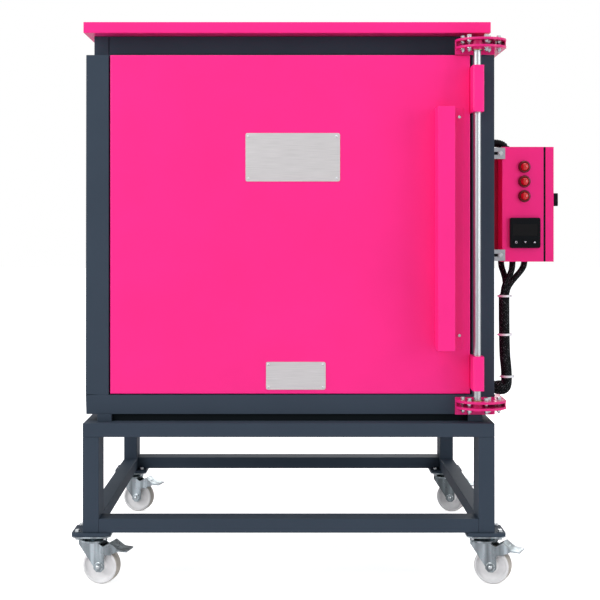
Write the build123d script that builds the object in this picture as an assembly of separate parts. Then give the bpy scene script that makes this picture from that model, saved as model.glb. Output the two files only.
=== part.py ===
from build123d import *
from math import pi, radians, sqrt, tan
import os

# A front-loading ceramic kiln on a wheeled stand. All sizes are in millimetres.
# X runs to the right, Y to the back and Z up, seen from the front. While the pieces are
# built, X is counted from a line near the stand's middle, Y from the stand's front face
# and Z from the floor.

# Casters
wheel_d = 80
wheel_w = 32
wheel_sides = 24
wheel_dish = 6
dish_slope = 50
wheel_rim = 7
wheel_edge = 3.5
hub_r = 14
caster_h = 110
trail = 20
plate_x = 85
plate_y = 100
plate_t = 3
pad_t = 8
corner_cut = 14
left_turn = 13
right_turn = 22
axle_d = 12
axle_nut_r = 9.5
axle_nut_t = 5
kingpin_d = 10
kingpin_nut_t = 6
race_h = 11
race_slope = 32
fork_t = 3.5
fork_gap = 2
fork_neck = 20
fork_sides = 12
foot_share = 0.42
foot_r = 12
head_r = 30
head_t = 4
cheek_in = 4
cheek_drop = 8
cheek_hook = ((30, 31), (28, 25.5), (14, 26), (12, 22))
pedal_pin_d = 6
pedal_pin_out = 13
pedal_pin_up = 34
pedal_t = 2
pedal_arm = ((-8, -4), (-7, 8), (12, 19), (31, 5), (26, -2), (4, -7), (-8, -4))
pedal_tread = ((10, 17), (13, 20), (33, 6), (52, 4), (52, 1), (31, 2), (10, 17))
shoe_out = 18
shoe_t = 8
shoe_w = 20
shoe_low = 3
shoe_top = 12
running_gap = 0.05
swivel_gap = 0.3

# Body frame and its sheets
body_w = 880
body_mid = 4
body_front = 100
body_d = 755
body_h = 841.5
base_t = 3
post_w = 32
post_d = 35
post_t = 2
top_rail_h = 39.5
top_rail_gap = 3.5
skin_t = 1.5
skin_lip = 12
skin_recess = 1
vent_w = 60
vent_h = 6
vent_pitch = 16
vent_rows = 3
vent_in = 90

# Stand
stand_over = 18.5
stand_mid = 1.5
leg_w = 35
leg_d = 85
leg_h = 208.5
rail_h = 30
rail_d = 60
side_rail_w = 35
tube_t = 2.5

# Runners between the stand and the body
runner_w = 31
runner_h = 15.5
runner_inset = 16
runner_front = 30

# Lid
lid_over = 20
lid_mid = -2
lid_front = 40
lid_back_over = 15
lid_h = 24
lid_t = 2
lid_return_side = 34
lid_return_front = 78

# Door surround, a U-shaped frame on the body's front
surround_over = 20
surround_mid = 5
surround_front = 35
stile_w = 49.5
stile_t = 2
sill_h = 42.5
surround_drop = 10
collar_t = 2

# Lining
brick_t = 115
post_clear = 1
roof_clear = 4
wool_floor = 45
wool_back = 40
back_cavity = 40
plug_depth = 90
mouth_slope_x = 0.3
mouth_slope_z = 0.12
plug_gap = 4

# Door leaf
gap_left = 3.1
gap_right = 3.7
gap_sill = 2
leaf_t = 2
leaf_depth = 30
leaf_edge_r = 3
plug_flange = 40
plug_flange_t = 25
seal_w = 18
seal_gap = 0.3
seal_inset = 6

# Hinge
hinge_out = 10.7
rod_d = 16
knuckle_w = 24
knuckle_d = 50
knuckle_back = 24
knuckle_edge = 2.5
lug_t = 2.6
lug_reach = 22
top_knuckle_h = 101
top_knuckle_drop = 28
low_knuckle_h = 74.5
low_knuckle_up = 13
bracket_t = 5
bracket_in = 44.5
bracket_out = 34
bracket_nose = 29
bracket_nose_out = 2
bracket_shoulder = 12
bracket_end_y = 8
bracket_cheek_t = 3
web_t = 8
web_proud = 4
boss_d = 26
boss_drop = 4
bush_t = 2
bush_flange = 1.5
boss_sides = 16
top_bracket_up = 11.5
top_bracket_pitch = 16
top_tail = 100
low_bracket_up = 15
low_bracket_pitch = 14
low_tail = 20

# Cover over the door's element terminals
cover_in = 77.8
cover_w = 36.5
cover_depth = 69
cover_up = 100.5
cover_h = 529
cover_t = 1.5
cover_flange = 25.5

# Heating elements
rod_runs = 6
element_d = 12
element_sides = 8
tail_d = 8
tail_clear = 2
tail_fit = 0.5
tail_in = 14
groove_w = 20
groove_depth = 18
run_margin = 60
back_runs = 4
door_runs = 4
terminal_w = 18
terminal_h = 22
terminal_y = 16

# Thermocouple
probe_d = 12
probe_reach = 60
probe_head_d = 34
probe_head_t = 18
probe_drop = 150

# Control box on the right-hand side
box_off = 66.9
box_in = 186
box_up = 328.8
box_w = 102.1
box_depth = 220
box_h = 273.7
box_t = 1.5
box_seam = 1
box_door_t = 19.4
box_pin_d = 5
box_knuckle_d = 9
box_hinge_gap = 0.4
box_knuckle_h = 30
box_knuckle_in = 40
box_leaf_w = 12
box_leaf_t = 2
lip_t = 3
lip_w = 8
lip_h = 60
lock_in = 19
lock_up = 148.2
lock_h = 31
lock_y_w = 10
lock_r = 3
lock_d = 12
lock_w = 13
lock_base_d = 22
lock_base_t = 2
lock_nut_t = 4
lock_nut_gap = 0.1
lock_stem_d = 8
cam_w = 14
cam_t = 2.5
cam_gap = 1
standoff_in = 68
standoff_d = 136
standoff_margin = 15
l_bracket_t = 3
l_bracket_h = 27
l_bracket_lap = 6.5
l_bracket_leg = 45
l_bracket_in = 2
slot_l = 20
slot_w = 7
slot_out = 16
gear_plate_t = 2
gear_plate_off = 8
gear_plate_in = 70
gear_margin = 18
gear_post_d = 8
gear_post_in = 10
contactor_w = 45
contactor_h = 72
contactor_d = 58
contactor_low_d = 35
contactor_in = 76
contactor_gap = 6
contactor_row = 20
contactor_top = 58
contactor_step = 18
contactor_side = 4

# Lamps and controller on the box's front
lamp_d = 29
lamp_sides = 16
lamp_ring = 7
lamp_edge = 2
lamp_stud_d = 21
lamp_stud = 28
lens_d = 22
lens_rise = 7
lens_slope = 40
seat_t = 3
lamp_out = 52.4
lamp_drop = 47.5
lamp_pitch = 35
lamp_count = 3
controller_w = 72
controller_bezel = 9
controller_r = 4
controller_body = 66
controller_body_d = 60
controller_out = 53.6
controller_up = 68.7
window_side = 3
window_top = 12
window_low = 8
window_t = 1
key_w = 13
key_h = 9
key_pitch = 22
key_below = 22
key_gap = 0.2
key_travel = 0.8
key_proud = 1
key_t = 3
key_count = 3

# Cables, their routes counted from the control box's lower front left corner
trunk_d = 26
whip_d = 15
conduit_d = 15
cable_sides = 8
cable_fit = 0.2
gland_wall = 4
gland_t = 6
tie_h = 5
tie_wall = 2.4
tie_head = 4
tie_places = ((11, -84), (11, -177), (17, -278))
whip_routes = (
    ((14, 114, 6), (14, 114, -13), (20, 102, -33), (20, 74, -53), (15, 50, -74),
     (12, 45.5, -93), (11, 46, -119)),
    ((33, 54, 6), (33, 54, -15), (27, 52, -33), (15, 48, -53), (9, 44, -75), (8, 42, -101)),
    ((62, 54, 6), (62, 54, -11), (49, 53, -29), (30, 50, -49), (16, 46, -71), (13.5, 42.5, -103)),
)
trunk_route = ((11, 44, -79), (11, 44, -215), (17, 44, -262))
elbow_out = 17
elbow_up = 21.5
conduit_in = 59
conduit_up = 15.5
conduit_out = 16.1
conduit_spare = 0.5

# Heights and depths that follow from the sizes above
foot_z = caster_h + pad_t
leg_top = foot_z + leg_h
stand_top = leg_top + rail_h
body_z = stand_top + runner_h
body_top = body_z + body_h
body_back = body_front + body_d
body_left = body_mid - body_w / 2
body_right = body_mid + body_w / 2
floor_z = body_z + base_t
rail_z = body_top - top_rail_h
skin_right = body_right - skin_recess
stand_d = body_back
stand_left = stand_mid - (body_w + stand_over) / 2
stand_right = stand_mid + (body_w + stand_over) / 2
surround_left = surround_mid - (body_w + surround_over) / 2
surround_right = surround_mid + (body_w + surround_over) / 2
surround_top = rail_z - surround_drop
sill_top = body_z + sill_h
leaf_left = surround_left + stile_w + gap_left
leaf_right = surround_right - stile_w - gap_right
leaf_z = sill_top + gap_sill
leaf_top = surround_top
leaf_back = surround_front + leaf_depth
mouth_y = body_front + collar_t
plug_face = body_front + plug_depth
wool_end = body_back - skin_recess - skin_t - back_cavity
chamber_back = wool_end - wool_back - brick_t
hearth_z = floor_z + wool_floor + brick_t
chamber_top = rail_z - roof_clear - brick_t
lining_left = body_left + post_w + post_clear
lining_right = body_right - post_w - post_clear
lining_back = chamber_back + brick_t
chamber_left = lining_left + brick_t
chamber_right = lining_right - brick_t
chamber_w = chamber_right - chamber_left
chamber_h = chamber_top - hearth_z
hinge_x = leaf_right + hinge_out
bracket_left = hinge_x - bracket_in
bracket_right = body_right + bracket_out
top_bracket_z = surround_top + top_bracket_up
low_bracket_z = body_z + low_bracket_up
cover_left = leaf_right - cover_in
cover_z = leaf_z + cover_up
box_left = body_right + box_off
box_front = body_front + box_in
box_z = body_z + box_up
box_right = box_left + box_w
box_back = box_front + box_depth
box_top = box_z + box_h
box_door_x = box_right + box_seam
box_door_out = box_door_x + box_door_t
lock_y = box_front + lock_in
lock_z = box_z + lock_up
lamp_x = box_left + lamp_out
controller_x = box_left + controller_out
controller_mid_z = box_z + controller_up
trunk_y = box_front + trunk_route[0][1]
elbow_z = body_z + elbow_up
conduit_y = box_front + conduit_in
conduit_z = box_top + conduit_up
race_z = caster_h - plate_t - race_h
head_z = race_z - swivel_gap


def block(x0, x1, y0, y1, z0, z1):
    """Give the box between two corners."""
    size = Box(x1 - x0, y1 - y0, z1 - z0)
    return Pos((x0 + x1) / 2, (y0 + y1) / 2, (z0 + z1) / 2) * size


def rod(radius, x, y, z0, z1):
    """Give an upright cylinder."""
    return Pos(x, y, (z0 + z1) / 2) * Cylinder(radius, z1 - z0)


def rod_y(radius, x, z, y0, y1):
    """Give a cylinder that runs front to back."""
    return Pos(x, (y0 + y1) / 2, z) * Rot(90, 0, 0) * Cylinder(radius, y1 - y0)


def rod_x(radius, y, z, x0, x1):
    """Give a cylinder that runs left to right."""
    return Pos((x0 + x1) / 2, y, z) * Rot(0, 90, 0) * Cylinder(radius, x1 - x0)


def many_sided(diameter, sides):
    """A regular section, its flats square to the axes and as far apart as the diameter."""
    return RegularPolygon(diameter / 2, sides, major_radius=False, rotation=180 / sides)


def post_of_sides(diameter, sides, x, y, z0, z1):
    """A many-sided bar that stands upright."""
    return Pos(x, y, z0) * extrude(many_sided(diameter, sides), z1 - z0)


def rod_of_sides(diameter, sides, x, z, y0, y1):
    """A many-sided bar that runs front to back."""
    section = Plane((x, y0, z), x_dir=(1, 0, 0), z_dir=(0, -1, 0)) * many_sided(diameter, sides)
    return extrude(section, y0 - y1)


def tube_along_x(x0, x1, y0, y1, z0, z1, wall):
    """Give a square tube, open at both ends, that runs left to right."""
    hollow = block(x0, x1, y0 + wall, y1 - wall, z0 + wall, z1 - wall)
    return block(x0, x1, y0, y1, z0, z1) - hollow


def tube_along_y(x0, x1, y0, y1, z0, z1, wall):
    """Give a square tube, open at both ends, that runs front to back."""
    hollow = block(x0 + wall, x1 - wall, y0, y1, z0 + wall, z1 - wall)
    return block(x0, x1, y0, y1, z0, z1) - hollow


def tube_along_z(x0, x1, y0, y1, z0, z1, wall, cap=0):
    """Give an upright square tube, open below, with a cap of the given thickness on top."""
    hollow = block(x0 + wall, x1 - wall, y0 + wall, y1 - wall, z0, z1 - cap)
    return block(x0, x1, y0, y1, z0, z1) - hollow


def cable(points, diameter, name):
    """Sweep a round cable along straight runs joined by arcs as large as the runs allow."""
    route = [Vector(*p) for p in points]
    radii = []
    for before, here, after in zip(route, route[1:], route[2:]):
        turn = (here - before).get_angle(after - here)
        shorter = min((here - before).length, (after - here).length)
        radii.append(0.45 * shorter / tan(radians(turn / 2)))
    path = FilletPolyline(*points, radius=radii)
    section = many_sided(diameter, cable_sides)
    tube = sweep(Plane(path @ 0, z_dir=path % 0) * section, path=path)
    share = tube.volume / (section.area * path.length)
    print(name, "radii", [round(r, 1) for r in radii], "volume share", round(share, 4))
    return tube


def corner_xy():
    """Give the four legs' outer corners as places and signs."""
    for x, side in ((stand_left, 1), (stand_right, -1)):
        for y, way in ((0, 1), (stand_d, -1)):
            yield x, side, y, way


def span(start, sign, length):
    """Give the lower and upper end of a length that starts somewhere and runs one way."""
    end = start + sign * length
    return min(start, end), max(start, end)


def stand_legs():
    """Four upright tubes under the top frame."""
    legs = []
    for x, side, y, way in corner_xy():
        x0, x1 = span(x, side, leg_w)
        y0, y1 = span(y, way, leg_d)
        legs.append(tube_along_z(x0, x1, y0, y1, foot_z, leg_top, tube_t))
    return legs


def stand_cross_rails():
    """The top rails lie over the legs from side to side, the low ones stand between them."""
    rails = []
    for y, way in ((0, 1), (stand_d, -1)):
        y0, y1 = span(y, way, rail_d)
        rails.append(tube_along_x(stand_left, stand_right, y0, y1, leg_top, stand_top, tube_t))
        low_left = stand_left + leg_w
        low_right = stand_right - leg_w
        low_top = foot_z + rail_h
        rails.append(tube_along_x(low_left, low_right, y0, y1, foot_z, low_top, tube_t))
    return rails


def stand_side_rails():
    """Upper and lower rails from front to back on each side."""
    rails = []
    for x, side in ((stand_left, 1), (stand_right, -1)):
        x0, x1 = span(x, side, side_rail_w)
        top_y0 = rail_d
        top_y1 = stand_d - rail_d
        rails.append(tube_along_y(x0, x1, top_y0, top_y1, leg_top, stand_top, tube_t))
        low_y0 = leg_d
        low_y1 = stand_d - leg_d
        low_top = foot_z + rail_h
        rails.append(tube_along_y(x0, x1, low_y0, low_y1, foot_z, low_top, tube_t))
    return rails


def caster_places():
    """Give the place of each caster's kingpin and how far the caster is turned."""
    x_in = leg_w / 2
    y_in = leg_d / 2
    return {
        "front_left": (stand_left + x_in, y_in, left_turn),
        "front_right": (stand_right - x_in, y_in, right_turn),
        "rear_left": (stand_left + x_in, stand_d - y_in, left_turn),
        "rear_right": (stand_right - x_in, stand_d - y_in, right_turn),
    }


def plate_outline():
    """The plates' outline, its corners cut off."""
    outline = Rectangle(plate_x, plate_y)
    return chamfer(outline.vertices(), corner_cut)


def caster_pads():
    """Plates welded under the legs."""
    pads = []
    for x, y, turn in caster_places().values():
        pads.append(Pos(x, y, caster_h) * extrude(plate_outline(), pad_t))
    return pads


def caster_plates():
    """Each caster's top plate with its bearing cup, its kingpin and the kingpin's nut."""
    plate_z = caster_h - plate_t
    pin_z = head_z - head_t - swivel_gap
    plates = []
    for x, y, turn in caster_places().values():
        plate = Pos(0, 0, plate_z) * extrude(plate_outline(), plate_t)
        race = many_sided(2 * head_r, fork_sides)
        cup = Pos(0, 0, plate_z) * Rot(180, 0, 0) * extrude(race, race_h, taper=race_slope)
        pin = rod(kingpin_d / 2, 0, 0, pin_z, plate_z)
        nut = Pos(0, 0, pin_z) * extrude(RegularPolygon(kingpin_d, 6), -kingpin_nut_t)
        plates.append(Pos(x, y, 0) * (plate + cup + pin + nut))
    return plates


def cheek_outline():
    """The cheek's outline from the side, with its hook over the wheel and its round foot."""
    axle_z = wheel_d / 2
    front_x = cheek_in - head_r
    hook = [(trail + x, axle_z + z) for x, z in cheek_hook]
    edge = Polyline(
        (trail - foot_r, axle_z), (front_x, head_z - cheek_drop), (front_x, head_z),
        (foot_r, head_z), *hook, (trail + foot_r, axle_z),
    )
    start = (trail + foot_r, axle_z)
    low = axle_z - foot_r
    cut = foot_r * foot_share
    foot = Polyline(
        start, (trail + foot_r, axle_z - cut), (trail + cut, low), (trail - cut, low),
        (trail - foot_r, axle_z - cut), (trail - foot_r, axle_z),
    )
    return make_face(edge + foot)


def caster_fork():
    """Pressed fork with its axle bolt: two cheeks, a round head and a wrapped front."""
    axle_z = wheel_d / 2
    inner = wheel_w / 2 + fork_gap
    outer = inner + fork_t
    under = head_z - head_t
    fork = Pos(0, 0, under) * extrude(many_sided(2 * head_r, fork_sides), head_t)
    neck = many_sided(2 * outer, fork_sides) - many_sided(2 * inner, fork_sides)
    neck = Pos(0, 0, under - fork_neck) * extrude(neck, fork_neck)
    fork += neck - block(0, outer, -outer, outer, under - fork_neck, under)
    for y in (outer, -inner):
        fork += Pos(0, y, 0) * extrude(Plane.XZ * cheek_outline(), fork_t)
    pin_x, pin_z = pedal_pin()
    hole_d = kingpin_d + 2 * running_gap
    fork -= post_of_sides(hole_d, fork_sides, 0, 0, under, head_z)
    hole_d = pedal_pin_d + 2 * running_gap
    fork -= rod_of_sides(hole_d, element_sides, pin_x, pin_z, -outer, outer)
    fork += rod_y(axle_d / 2, trail, axle_z, -inner, inner)
    nut = extrude(Plane.XZ * RegularPolygon(axle_nut_r, 6), axle_nut_t)
    for y in (-outer, outer + axle_nut_t):
        fork += Pos(trail, y, axle_z) * nut
    return fork


def caster_wheel():
    """Solid wheel with bevelled edges, a dished face each side and a long hub on a plain bore."""
    half = wheel_w / 2
    flat = half - wheel_edge
    hub = half + fork_gap - swivel_gap
    tread = many_sided(wheel_d, wheel_sides)
    hollow = many_sided(wheel_d - 2 * wheel_rim, wheel_sides)
    side = extrude(tread, flat)
    side += Pos(0, 0, flat) * extrude(tread, wheel_edge, taper=45)
    side -= Pos(0, 0, half) * Rot(180, 0, 0) * extrude(hollow, wheel_dish, taper=dish_slope)
    side += extrude(many_sided(2 * hub_r, fork_sides), hub)
    wheel = side + Rot(180, 0, 0) * side
    wheel -= Cylinder(axle_d / 2 + running_gap, 2 * hub)
    return Pos(trail, 0, wheel_d / 2) * Rot(90, 0, 0) * wheel


def pedal_pin():
    """The brake pedal's pivot, from the kingpin along the trail and from the floor."""
    return trail + pedal_pin_out, wheel_d / 2 + pedal_pin_up


def caster_pedal():
    """Brake pedal that straddles the fork: side arms, a bent tread plate and a shoe."""
    inner = wheel_w / 2 + fork_gap + fork_t + swivel_gap
    outer = inner + pedal_t
    pin_x, pin_z = pedal_pin()
    arm = Plane.XZ * make_face(Polyline(*pedal_arm))
    tread = Plane.XZ * make_face(Polyline(*pedal_tread))
    pedal = Pos(pin_x, outer, pin_z) * extrude(tread, 2 * outer)
    shoe_x = pin_x + shoe_out
    half = shoe_w / 2
    pedal += block(shoe_x, shoe_x + shoe_t, -half, half, pin_z - shoe_low, pin_z + shoe_top)
    for y in (outer, -inner):
        pedal += Pos(pin_x, y, pin_z) * extrude(arm, pedal_t)
    for y0, y1 in ((-inner, fork_t - inner), (inner - fork_t, inner)):
        pedal += rod_y(pedal_pin_d / 2, pin_x, pin_z, y0, y1)
    return pedal


def plinth_runners():
    """Two flat bars that carry the body on the stand."""
    runners = []
    for x, side in ((body_left + runner_inset, 1), (body_right - runner_inset, -1)):
        x0, x1 = span(x, side, runner_w)
        runners.append(block(x0, x1, runner_front, body_back, stand_top, body_z))
    return runners


def body_frame():
    """The base sheet and the four corner posts."""
    base = block(body_left, body_right, body_front, body_back, body_z, floor_z)
    pieces = [base]
    for x, side in ((body_left, 1), (body_right, -1)):
        for y, way in ((body_front, 1), (body_back, -1)):
            x0, x1 = span(x, side, post_w)
            y0, y1 = span(y, way, post_d)
            pieces.append(tube_along_z(x0, x1, y0, y1, floor_z, body_top, post_t))
    return pieces


def top_rails():
    """Rails between the posts' tops, the front one faced with a sheet that stops short."""
    x0 = body_left + post_w
    x1 = body_right - post_w
    y0 = body_front + post_d
    y1 = body_back - post_d
    back_y = body_back - post_d
    face_y = body_front + collar_t
    front = tube_along_x(x0, x1, face_y, y0, rail_z, body_top, post_t)
    front += block(x0 + top_rail_gap, x1 - top_rail_gap, body_front, face_y, rail_z, body_top)
    rails = [front, tube_along_x(x0, x1, back_y, body_back, rail_z, body_top, post_t)]
    for x, side in ((body_left, 1), (body_right, -1)):
        a, b = span(x, side, post_w)
        rails.append(tube_along_y(a, b, y0, y1, rail_z, body_top, post_t))
    return rails


def door_surround():
    """Two stiles on a sill, with the four collar strips that frame the brick mouth."""
    y0 = surround_front
    y1 = body_front
    sill = block(surround_left, surround_right, y0, y1, body_z, sill_top)
    pieces = [sill]
    for x, side in ((surround_left, 1), (surround_right, -1)):
        a, b = span(x, side, stile_w)
        pieces.append(tube_along_z(a, b, y0, y1, sill_top, surround_top, stile_t, stile_t))
    collar_left = body_left + post_w
    collar_right = body_right - post_w
    grow_x = mouth_slope_x * plug_depth + plug_gap
    grow_z = mouth_slope_z * plug_depth + plug_gap
    mouth_left = chamber_left - grow_x
    mouth_right = chamber_right + grow_x
    low = hearth_z - grow_z
    high = chamber_top + grow_z
    for a, b, c, d in (
        (collar_left, mouth_left, floor_z, rail_z), (mouth_right, collar_right, floor_z, rail_z),
        (mouth_left, mouth_right, floor_z, low), (mouth_left, mouth_right, high, rail_z),
    ):
        pieces.append(block(a, b, body_front, mouth_y, c, d))
    return pieces


def lid_panel():
    """Folded lid: a top sheet, a rim all round and a return that lies on the body."""
    x0 = lid_mid - (body_w + lid_over) / 2
    x1 = lid_mid + (body_w + lid_over) / 2
    y1 = body_back + lid_back_over
    z1 = body_top + lid_h
    lid = block(x0, x1, lid_front, y1, body_top, z1)
    lid -= block(x0 + lid_t, x1 - lid_t, lid_front + lid_t, y1 - lid_t, body_top + lid_t, z1 - lid_t)
    lid -= block(
        x0 + lid_return_side, x1 - lid_return_side, lid_front + lid_return_front,
        y1 - lid_return_side, body_top, body_top + lid_t,
    )
    return lid


def side_skins():
    """Side sheets folded back all round, set between the posts under the top rails."""
    y0 = body_front + post_d
    y1 = body_back - post_d
    skins = []
    for x, side in ((body_left + skin_recess, 1), (skin_right, -1)):
        a, b = span(x, side, skin_lip)
        c, d = span(x + side * skin_t, side, skin_lip - skin_t)
        skin = block(a, b, y0, y1, floor_z, rail_z)
        z0 = floor_z + skin_t
        z1 = rail_z - skin_t
        skins.append(skin - block(c, d, y0 + skin_t, y1 - skin_t, z0, z1))
    return skins


def back_skin():
    """Rear sheet between the posts with two fields of vent slots."""
    x0 = body_left + post_w
    x1 = body_right - post_w
    y1 = body_back - skin_recess
    skin = block(x0, x1, y1 - skin_lip, y1, floor_z, rail_z)
    z0 = floor_z + skin_t
    z1 = rail_z - skin_t
    skin -= block(x0 + skin_t, x1 - skin_t, y1 - skin_lip, y1 - skin_t, z0, z1)
    for base_z in (floor_z + vent_in, rail_z - vent_in - vent_rows * vent_pitch):
        for row in range(vent_rows):
            for side in (-1, 0, 1):
                x = body_mid + side * 3 * vent_w
                z = base_z + row * vent_pitch
                skin -= block(x - vent_w, x + vent_w, y1 - skin_t, y1, z, z + vent_h)
    return skin


def brick_opening(clear):
    """The tapered mouth and the chamber behind it, as one solid to cut with."""
    def outline(y, grow_x, grow_z):
        width = chamber_w + 2 * grow_x
        height = chamber_h + 2 * grow_z
        mid_z = (hearth_z + chamber_top) / 2
        return Plane((body_mid, y, mid_z), x_dir=(1, 0, 0), z_dir=(0, -1, 0)) * Rectangle(width, height)

    wide = outline(body_front, mouth_slope_x * plug_depth - clear, mouth_slope_z * plug_depth - clear)
    narrow = outline(plug_face, -clear, -clear)
    return loft([wide, narrow])


def element_heights(count, low, high):
    """Even heights for the runs of an element between two levels."""
    step = (high - low) / (count - 1)
    return [low + i * step for i in range(count)]


def bar_along(points, diameter):
    """Run an eight-sided bar along square corners: the outer size of a wound element."""
    path = Polyline(*points)
    start = Plane(path @ 0, z_dir=path % 0)
    return sweep(start * many_sided(diameter, element_sides), path=path, transition=Transition.RIGHT)


def hairpins(heights, to_point, near, far, diameter):
    """Join the runs in pairs: out along one height, across, and back along the next."""
    pins = []
    for low, high in zip(heights[0::2], heights[1::2]):
        points = [to_point(far, low), to_point(near, low), to_point(near, high), to_point(far, high)]
        pins.append(bar_along(points, diameter))
    return pins


def side_heights():
    return element_heights(rod_runs, hearth_z + run_margin, chamber_top - run_margin)


def back_heights():
    return element_heights(back_runs, hearth_z + 1.5 * run_margin, chamber_top - 1.5 * run_margin)


def door_heights():
    return element_heights(door_runs, hearth_z + 1.5 * run_margin, chamber_top - 1.5 * run_margin)


def tail_places():
    """Give every place where an element's tail goes out through the back wall."""
    inset = groove_depth - element_d / 2
    places = []
    for z in side_heights():
        places.append((chamber_left - inset, z))
        places.append((chamber_right + inset, z))
    for z in back_heights():
        places.append((chamber_right - run_margin, z))
    return places


def probe_z():
    return chamber_top - probe_drop


def wall_elements():
    """Hairpin elements in the side and back walls, with tails out to the rear cavity."""
    inset = groove_depth - element_d / 2
    near = plug_face + run_margin / 2
    far = wool_end
    pieces = []
    for x in (chamber_left - inset, chamber_right + inset):
        pieces += hairpins(side_heights(), lambda y, z: (x, y, z), near, far, element_d)
    y = chamber_back + inset
    left = chamber_left + run_margin / 2
    tail_x = chamber_right - run_margin
    for low, high in zip(back_heights()[0::2], back_heights()[1::2]):
        points = [
            (tail_x, wool_end, low), (tail_x, y, low), (left, y, low),
            (left, y, high), (tail_x, y, high), (tail_x, wool_end, high),
        ]
        pieces.append(bar_along(points, element_d))
    return pieces


def wall_grooves():
    """Grooves that hold the elements, and the holes for their tails and the probe."""
    near = plug_face + run_margin / 2 - groove_w / 2
    half = groove_w / 2
    cuts = []
    for x, side in ((chamber_left, -1), (chamber_right, 1)):
        x0, x1 = span(x, side, groove_depth)
        heights = side_heights()
        for z in heights:
            cuts.append(block(x0, x1, near, chamber_back, z - half, z + half))
        for low, high in zip(heights[0::2], heights[1::2]):
            cuts.append(block(x0, x1, near, near + groove_w, low - half, high + half))
    left = chamber_left + run_margin / 2 - half
    right = chamber_right - run_margin + half
    heights = back_heights()
    for z in heights:
        cuts.append(block(left, right, chamber_back, chamber_back + groove_depth, z - half, z + half))
    for low, high in zip(heights[0::2], heights[1::2]):
        cuts.append(block(left, left + groove_w, chamber_back, chamber_back + groove_depth, low, high))
    return cuts


def rear_holes():
    """Holes through the back lining for the element tails and the probe."""
    holes = []
    for x, z in tail_places():
        hole_d = element_d + 2 * cable_fit
        holes.append(rod_of_sides(hole_d, element_sides, x, z, chamber_back, wool_end))
    holes.append(rod_y(probe_d / 2 + cable_fit, body_mid, probe_z(), chamber_back, wool_end))
    return holes


def brick_walls():
    """Left, right and back brick walls, with the tapered mouth, the grooves and the tail holes."""
    z0 = floor_z + wool_floor
    walls = [
        block(lining_left, chamber_left, mouth_y, lining_back, z0, chamber_top),
        block(chamber_right, lining_right, mouth_y, lining_back, z0, chamber_top),
        block(chamber_left, chamber_right, chamber_back, lining_back, z0, chamber_top),
    ]
    cuts = [brick_opening(0)] + wall_grooves() + rear_holes()
    for cut in cuts:
        walls = [wall - cut for wall in walls]
    return walls


def brick_hearth():
    """Floor bricks between the walls, bevelled towards the door."""
    z0 = floor_z + wool_floor
    hearth = block(chamber_left, chamber_right, mouth_y, chamber_back, z0, hearth_z)
    return hearth - brick_opening(0)


def brick_roof():
    """Roof bricks, bevelled towards the door."""
    z1 = chamber_top + brick_t
    return block(lining_left, lining_right, mouth_y, lining_back, chamber_top, z1) - brick_opening(0)


def wool_backing():
    """Fibre blanket between the bricks and the sheets, notched round the posts and rails."""
    x0 = body_left + skin_recess + skin_t
    x1 = skin_right - skin_t
    wool = block(x0, x1, mouth_y, wool_end, floor_z, rail_z)
    wool += block(body_left + post_w, body_right - post_w, body_front + post_d,
                  wool_end, rail_z, body_top)
    brick_top = chamber_top + brick_t
    wool -= block(lining_left, lining_right, mouth_y, lining_back, floor_z + wool_floor, brick_top)
    for x, side in ((body_left, 1), (body_right, -1)):
        a, b = span(x, side, post_w)
        wool -= block(a, b, body_front, body_front + post_d, floor_z, body_top)
        c, d = span(x + side * skin_recess, side, skin_lip)
        y0 = body_front + post_d
        y1 = body_back - post_d
        wool -= block(c, d, y0, y0 + skin_t, floor_z, rail_z)
        wool -= block(c, d, y1 - skin_t, y1, floor_z, rail_z)
        wool -= block(c, d, y0, y1, floor_z, floor_z + skin_t)
        wool -= block(c, d, y0, y1, rail_z - skin_t, rail_z)
    for hole in rear_holes():
        wool -= hole
    low = floor_z + wool_floor
    slabs = (
        block(x0, x1, lining_back, wool_end, floor_z, body_top),
        block(x0, x1, mouth_y, lining_back, floor_z, low),
        block(x0, x1, mouth_y, lining_back, brick_top, body_top),
        block(x0, lining_left, mouth_y, lining_back, low, brick_top),
        block(lining_right, x1, mouth_y, lining_back, low, brick_top),
    )
    return [wool & slab for slab in slabs]


def element_terminals():
    """Ceramic blocks on the tails behind the wool."""
    blocks = []
    for x, z in tail_places():
        y1 = wool_end + terminal_y
        piece = block(x - terminal_w / 2, x + terminal_w / 2, wool_end, y1,
                      z - terminal_h / 2, z + terminal_h / 2)
        blocks.append(piece)
    return blocks


def thermocouple():
    """Ceramic sheath through the back wall with its head in the rear cavity."""
    z = probe_z()
    sheath = rod_y(probe_d / 2, body_mid, z, chamber_back - probe_reach, wool_end)
    head = rod_y(probe_head_d / 2, body_mid, z, wool_end, wool_end + probe_head_t)
    return sheath + head


def bracket_plate(z, outline_back):
    """One crescent-fronted plate with its back outline given as points."""
    left_front = (bracket_left, surround_front - bracket_shoulder)
    nose = (hinge_x + bracket_nose_out, -bracket_nose)
    right_front = (bracket_right - 1, bracket_end_y)
    front = ThreePointArc(left_front, nose, right_front)
    back = Polyline(right_front, *outline_back, (bracket_left, surround_front), left_front)
    return Pos(0, 0, z) * extrude(make_face(front + back), bracket_t)


def hinge_bracket(z_low, pitch, web_z0, web_z1, outline_back):
    """Two plates, the web behind them, end cheeks and the boss that takes the rod's bush."""
    z_high = z_low + pitch
    bracket = bracket_plate(z_low, outline_back) + bracket_plate(z_high, outline_back)
    web_y = surround_front - web_t
    cheek_x = bracket_left + bracket_cheek_t
    bracket += block(bracket_left, surround_right, web_y, surround_front, web_z0, web_z1)
    bracket += block(bracket_left, cheek_x, web_y - web_proud, surround_front, z_low, z_high)
    side_x = bracket_right - 1
    side_y = bracket_end_y + web_proud
    bracket += block(side_x - bracket_cheek_t, side_x, side_y, body_front - leg_w, z_low, z_high)
    boss_z = z_low - boss_drop
    bracket += post_of_sides(boss_d, boss_sides, hinge_x, 0, boss_z, z_high + bracket_t)
    return bracket


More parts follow.
